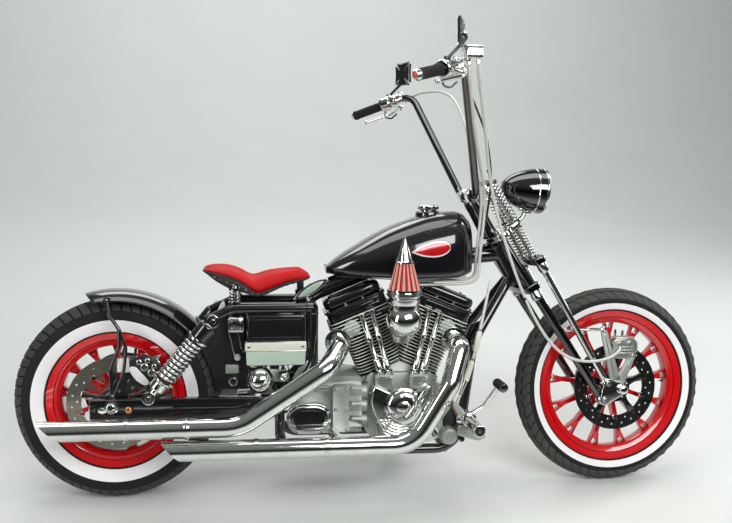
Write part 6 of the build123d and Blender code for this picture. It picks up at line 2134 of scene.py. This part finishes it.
def floor_surface(s):
    """Pale matte floor, a little uneven, with painted shade where it ends in front of the camera."""
    patch = s.noise(1.4, 5, 0.6)
    fine = s.noise(160, 3)
    # Painted shade: the floor turns dark towards the camera, so that the chrome shows a dark reflection of it
    # there
    front = 1 - s.place().part("Y").clipped(-1.9, -0.95)
    pale = s.mix(patch.clipped(0.3, 0.7), BACKDROP, dimmed(BACKDROP, 0.96))
    return {"Base Color": s.mix(front, pale, (0.09, 0.093, 0.09)), "Roughness": 0.55 + fine * 0.1}


def sweep():
    """Floor that curves up into a backdrop behind the motorcycle."""
    form = bmesh.new()
    line = rounded([(-9, 0), (7.5, 0), (7.5, 13)], 3.2, 18)
    grow(form, open_line(form, [(-15, y, z) for y, z in line])[1], (30, 0, 0))
    bmesh.ops.recalc_face_normals(form, faces=form.faces)
    if form.faces[0].normal.z < 0:
        bmesh.ops.reverse_faces(form, faces=form.faces)
    mesh = bpy.data.meshes.new("sweep")
    form.to_mesh(mesh)
    form.free()
    mesh.shade_smooth()
    mesh.materials.append(surface("floor", floor_surface))
    return shown("sweep", mesh)


def sky():
    """Even pale surroundings: dim below, bright above."""
    world = bpy.data.worlds.new("studio")
    world.use_nodes = True
    tree = world.node_tree
    tree.nodes.clear()
    blank = Shade(tree)
    height = blank.node("TexCoord", out="Generated").part("Z")
    tint = blank.node("ValToRGB", {"stops": [(0.0, (0.2, 0.21, 0.2)), (0.47, (0.02, 0.022, 0.02)),
        (0.58, (0.04, 0.045, 0.04)), (0.76, (0.27, 0.29, 0.27)), (1.0, (0.4, 0.42, 0.4))]},
        {0: height * 0.5 + 0.5})
    shader = blank.node("Background", {}, {"Color": tint, "Strength": 0.6})
    out = tree.nodes.new("ShaderNodeOutputWorld")
    tree.links.new(shader.socket, out.inputs["Surface"])
    bpy.context.scene.world = world


class CHOPPER_OT_stage(Operator):
    """Pale floor and backdrop, soft lamps, and a camera low on the right side"""
    bl_idname = "chopper.stage"
    bl_label = "Stage"

    def execute(self, context):
        scene = context.scene
        middle = BIKE @ Vector((810, 0, 600))
        lamps = [sheet_light("key", (3.0, 1.6), 118, middle + Vector((1.4, -3.2, 2.3)), middle),
            sheet_light("side", (0.7, 2.6), 46, middle + Vector((-3.2, -2.2, 1.2)), middle),
            sheet_light("above", (4.2, 1.6), 50, middle + Vector((0, 0.3, 3.2)), middle),
            sheet_light("rim", (0.6, 2.6), 45, middle + Vector((3.3, 1.2, 1.6)), middle),
            sheet_light("wall", (7.0, 1.0), 165, Vector((0, 3.4, 4.6)), Vector((0, 7.5, 2.4))),
            sheet_light("back", (3.0, 1.2), 38, middle + Vector((-0.6, 3.0, 2.8)), middle)]
        floor = sweep()
        sky()
        lens = bpy.data.cameras.new("camera")
        lens.lens, lens.sensor_width = 44.26, 36
        camera = shown("camera", lens)
        yaw, pitch, roll = (radians(a) for a in (-6.84, -4.78, 0.32))
        turn = (Matrix.Rotation(yaw, 4, "Z") @ Matrix.Rotation(radians(90) + pitch, 4, "X")
            @ Matrix.Rotation(roll, 4, "Z"))
        place = BIKE @ at(451, -2946, 1006) @ turn
        camera.matrix_world = Matrix.LocRotScale(place.translation, place.to_quaternion(), (1, 1, 1))
        scene.camera = camera
        scene.view_settings.view_transform = "Standard"
        return {"FINISHED"}


class ChopperColours(PropertyGroup):
    """Colours a user may change before the pieces are made."""
    gloss_black: bpy.props.FloatVectorProperty(name="Paint",
        description="Frame, fender, boxes and other black paint", subtype="COLOR", size=3,
        default=(0.009, 0.009, 0.01), min=0, max=1)
    red_lacquer: bpy.props.FloatVectorProperty(name="Wheels", description="Lacquer of both wheels",
        subtype="COLOR", size=3, default=(0.66, 0.004, 0.008), min=0, max=1)
    red_leather: bpy.props.FloatVectorProperty(name="Seat", description="Leather of the seat's cushion",
        subtype="COLOR", size=3, default=(0.62, 0.003, 0.006), min=0, max=1)
    chrome: bpy.props.FloatVectorProperty(name="Plating",
        description="Bright plating of pipes, covers and bolts", subtype="COLOR", size=3,
        default=(0.79, 0.8, 0.78), min=0, max=1)
    cast: bpy.props.FloatVectorProperty(name="Castings", description="Bare castings of engine and controls",
        subtype="COLOR", size=3, default=(0.5, 0.54, 0.49), min=0, max=1)


class ChopperSizes(PropertyGroup):
    """Sizes and counts a user may change before the pieces are made."""
    rear_white: bpy.props.FloatProperty(name="Rear whitewall",
        description="Width of the rear whitewall in mm", default=43, min=10, max=60)
    front_white: bpy.props.FloatProperty(name="Front whitewall",
        description="Width of the front whitewall in mm", default=26, min=8, max=40)
    fins: bpy.props.IntProperty(name="Cylinder fins", description="Fins on each cylinder", default=13, min=6,
        max=18)
    pleats: bpy.props.IntProperty(name="Pleats",
        description="Folds of each colour in the air cleaner's paper", default=15, min=8, max=30)


OPERATORS = (
    CHOPPER_OT_tyres, CHOPPER_OT_wheels, CHOPPER_OT_discs, CHOPPER_OT_cylinders, CHOPPER_OT_rocker_boxes,
    CHOPPER_OT_crankcase, CHOPPER_OT_starter, CHOPPER_OT_primary, CHOPPER_OT_belt, CHOPPER_OT_intake,
    CHOPPER_OT_exhausts, CHOPPER_OT_tank, CHOPPER_OT_seat, CHOPPER_OT_fender, CHOPPER_OT_frame,
    CHOPPER_OT_stand, CHOPPER_OT_suspension, CHOPPER_OT_boxes, CHOPPER_OT_foot_controls,
    CHOPPER_OT_clutch_cable, CHOPPER_OT_springer, CHOPPER_OT_front_brake, CHOPPER_OT_headlight,
    CHOPPER_OT_handlebar, CHOPPER_OT_lines, CHOPPER_OT_stage,
)


class CHOPPER_PT_panel(Panel):
    """Buttons that make each group of pieces"""
    bl_label = "Chopper motorcycle"
    bl_idname = "CHOPPER_PT_panel"
    bl_space_type = "VIEW_3D"
    bl_region_type = "UI"
    bl_category = "Chopper"

    def draw(self, context):
        for group in (context.scene.chopper_sizes, context.scene.chopper_colours):
            box = self.layout.box()
            for name in group.__annotations__:
                box.prop(group, name)
        for operator in OPERATORS:
            self.layout.operator(operator.bl_idname)


CLASSES = (ChopperSizes, ChopperColours, *OPERATORS, CHOPPER_PT_panel)


def register():
    for kind in CLASSES:
        bpy.utils.register_class(kind)
    bpy.types.Scene.chopper_sizes = bpy.props.PointerProperty(type=ChopperSizes)
    bpy.types.Scene.chopper_colours = bpy.props.PointerProperty(type=ChopperColours)


def unregister():
    del bpy.types.Scene.chopper_colours
    del bpy.types.Scene.chopper_sizes
    for kind in reversed(CLASSES):
        bpy.utils.unregister_class(kind)


def main():
    register()
    for operator in OPERATORS:
        group, name = operator.bl_idname.split(".")
        getattr(getattr(bpy.ops, group), name)()


if __name__ == "__main__":
    main()
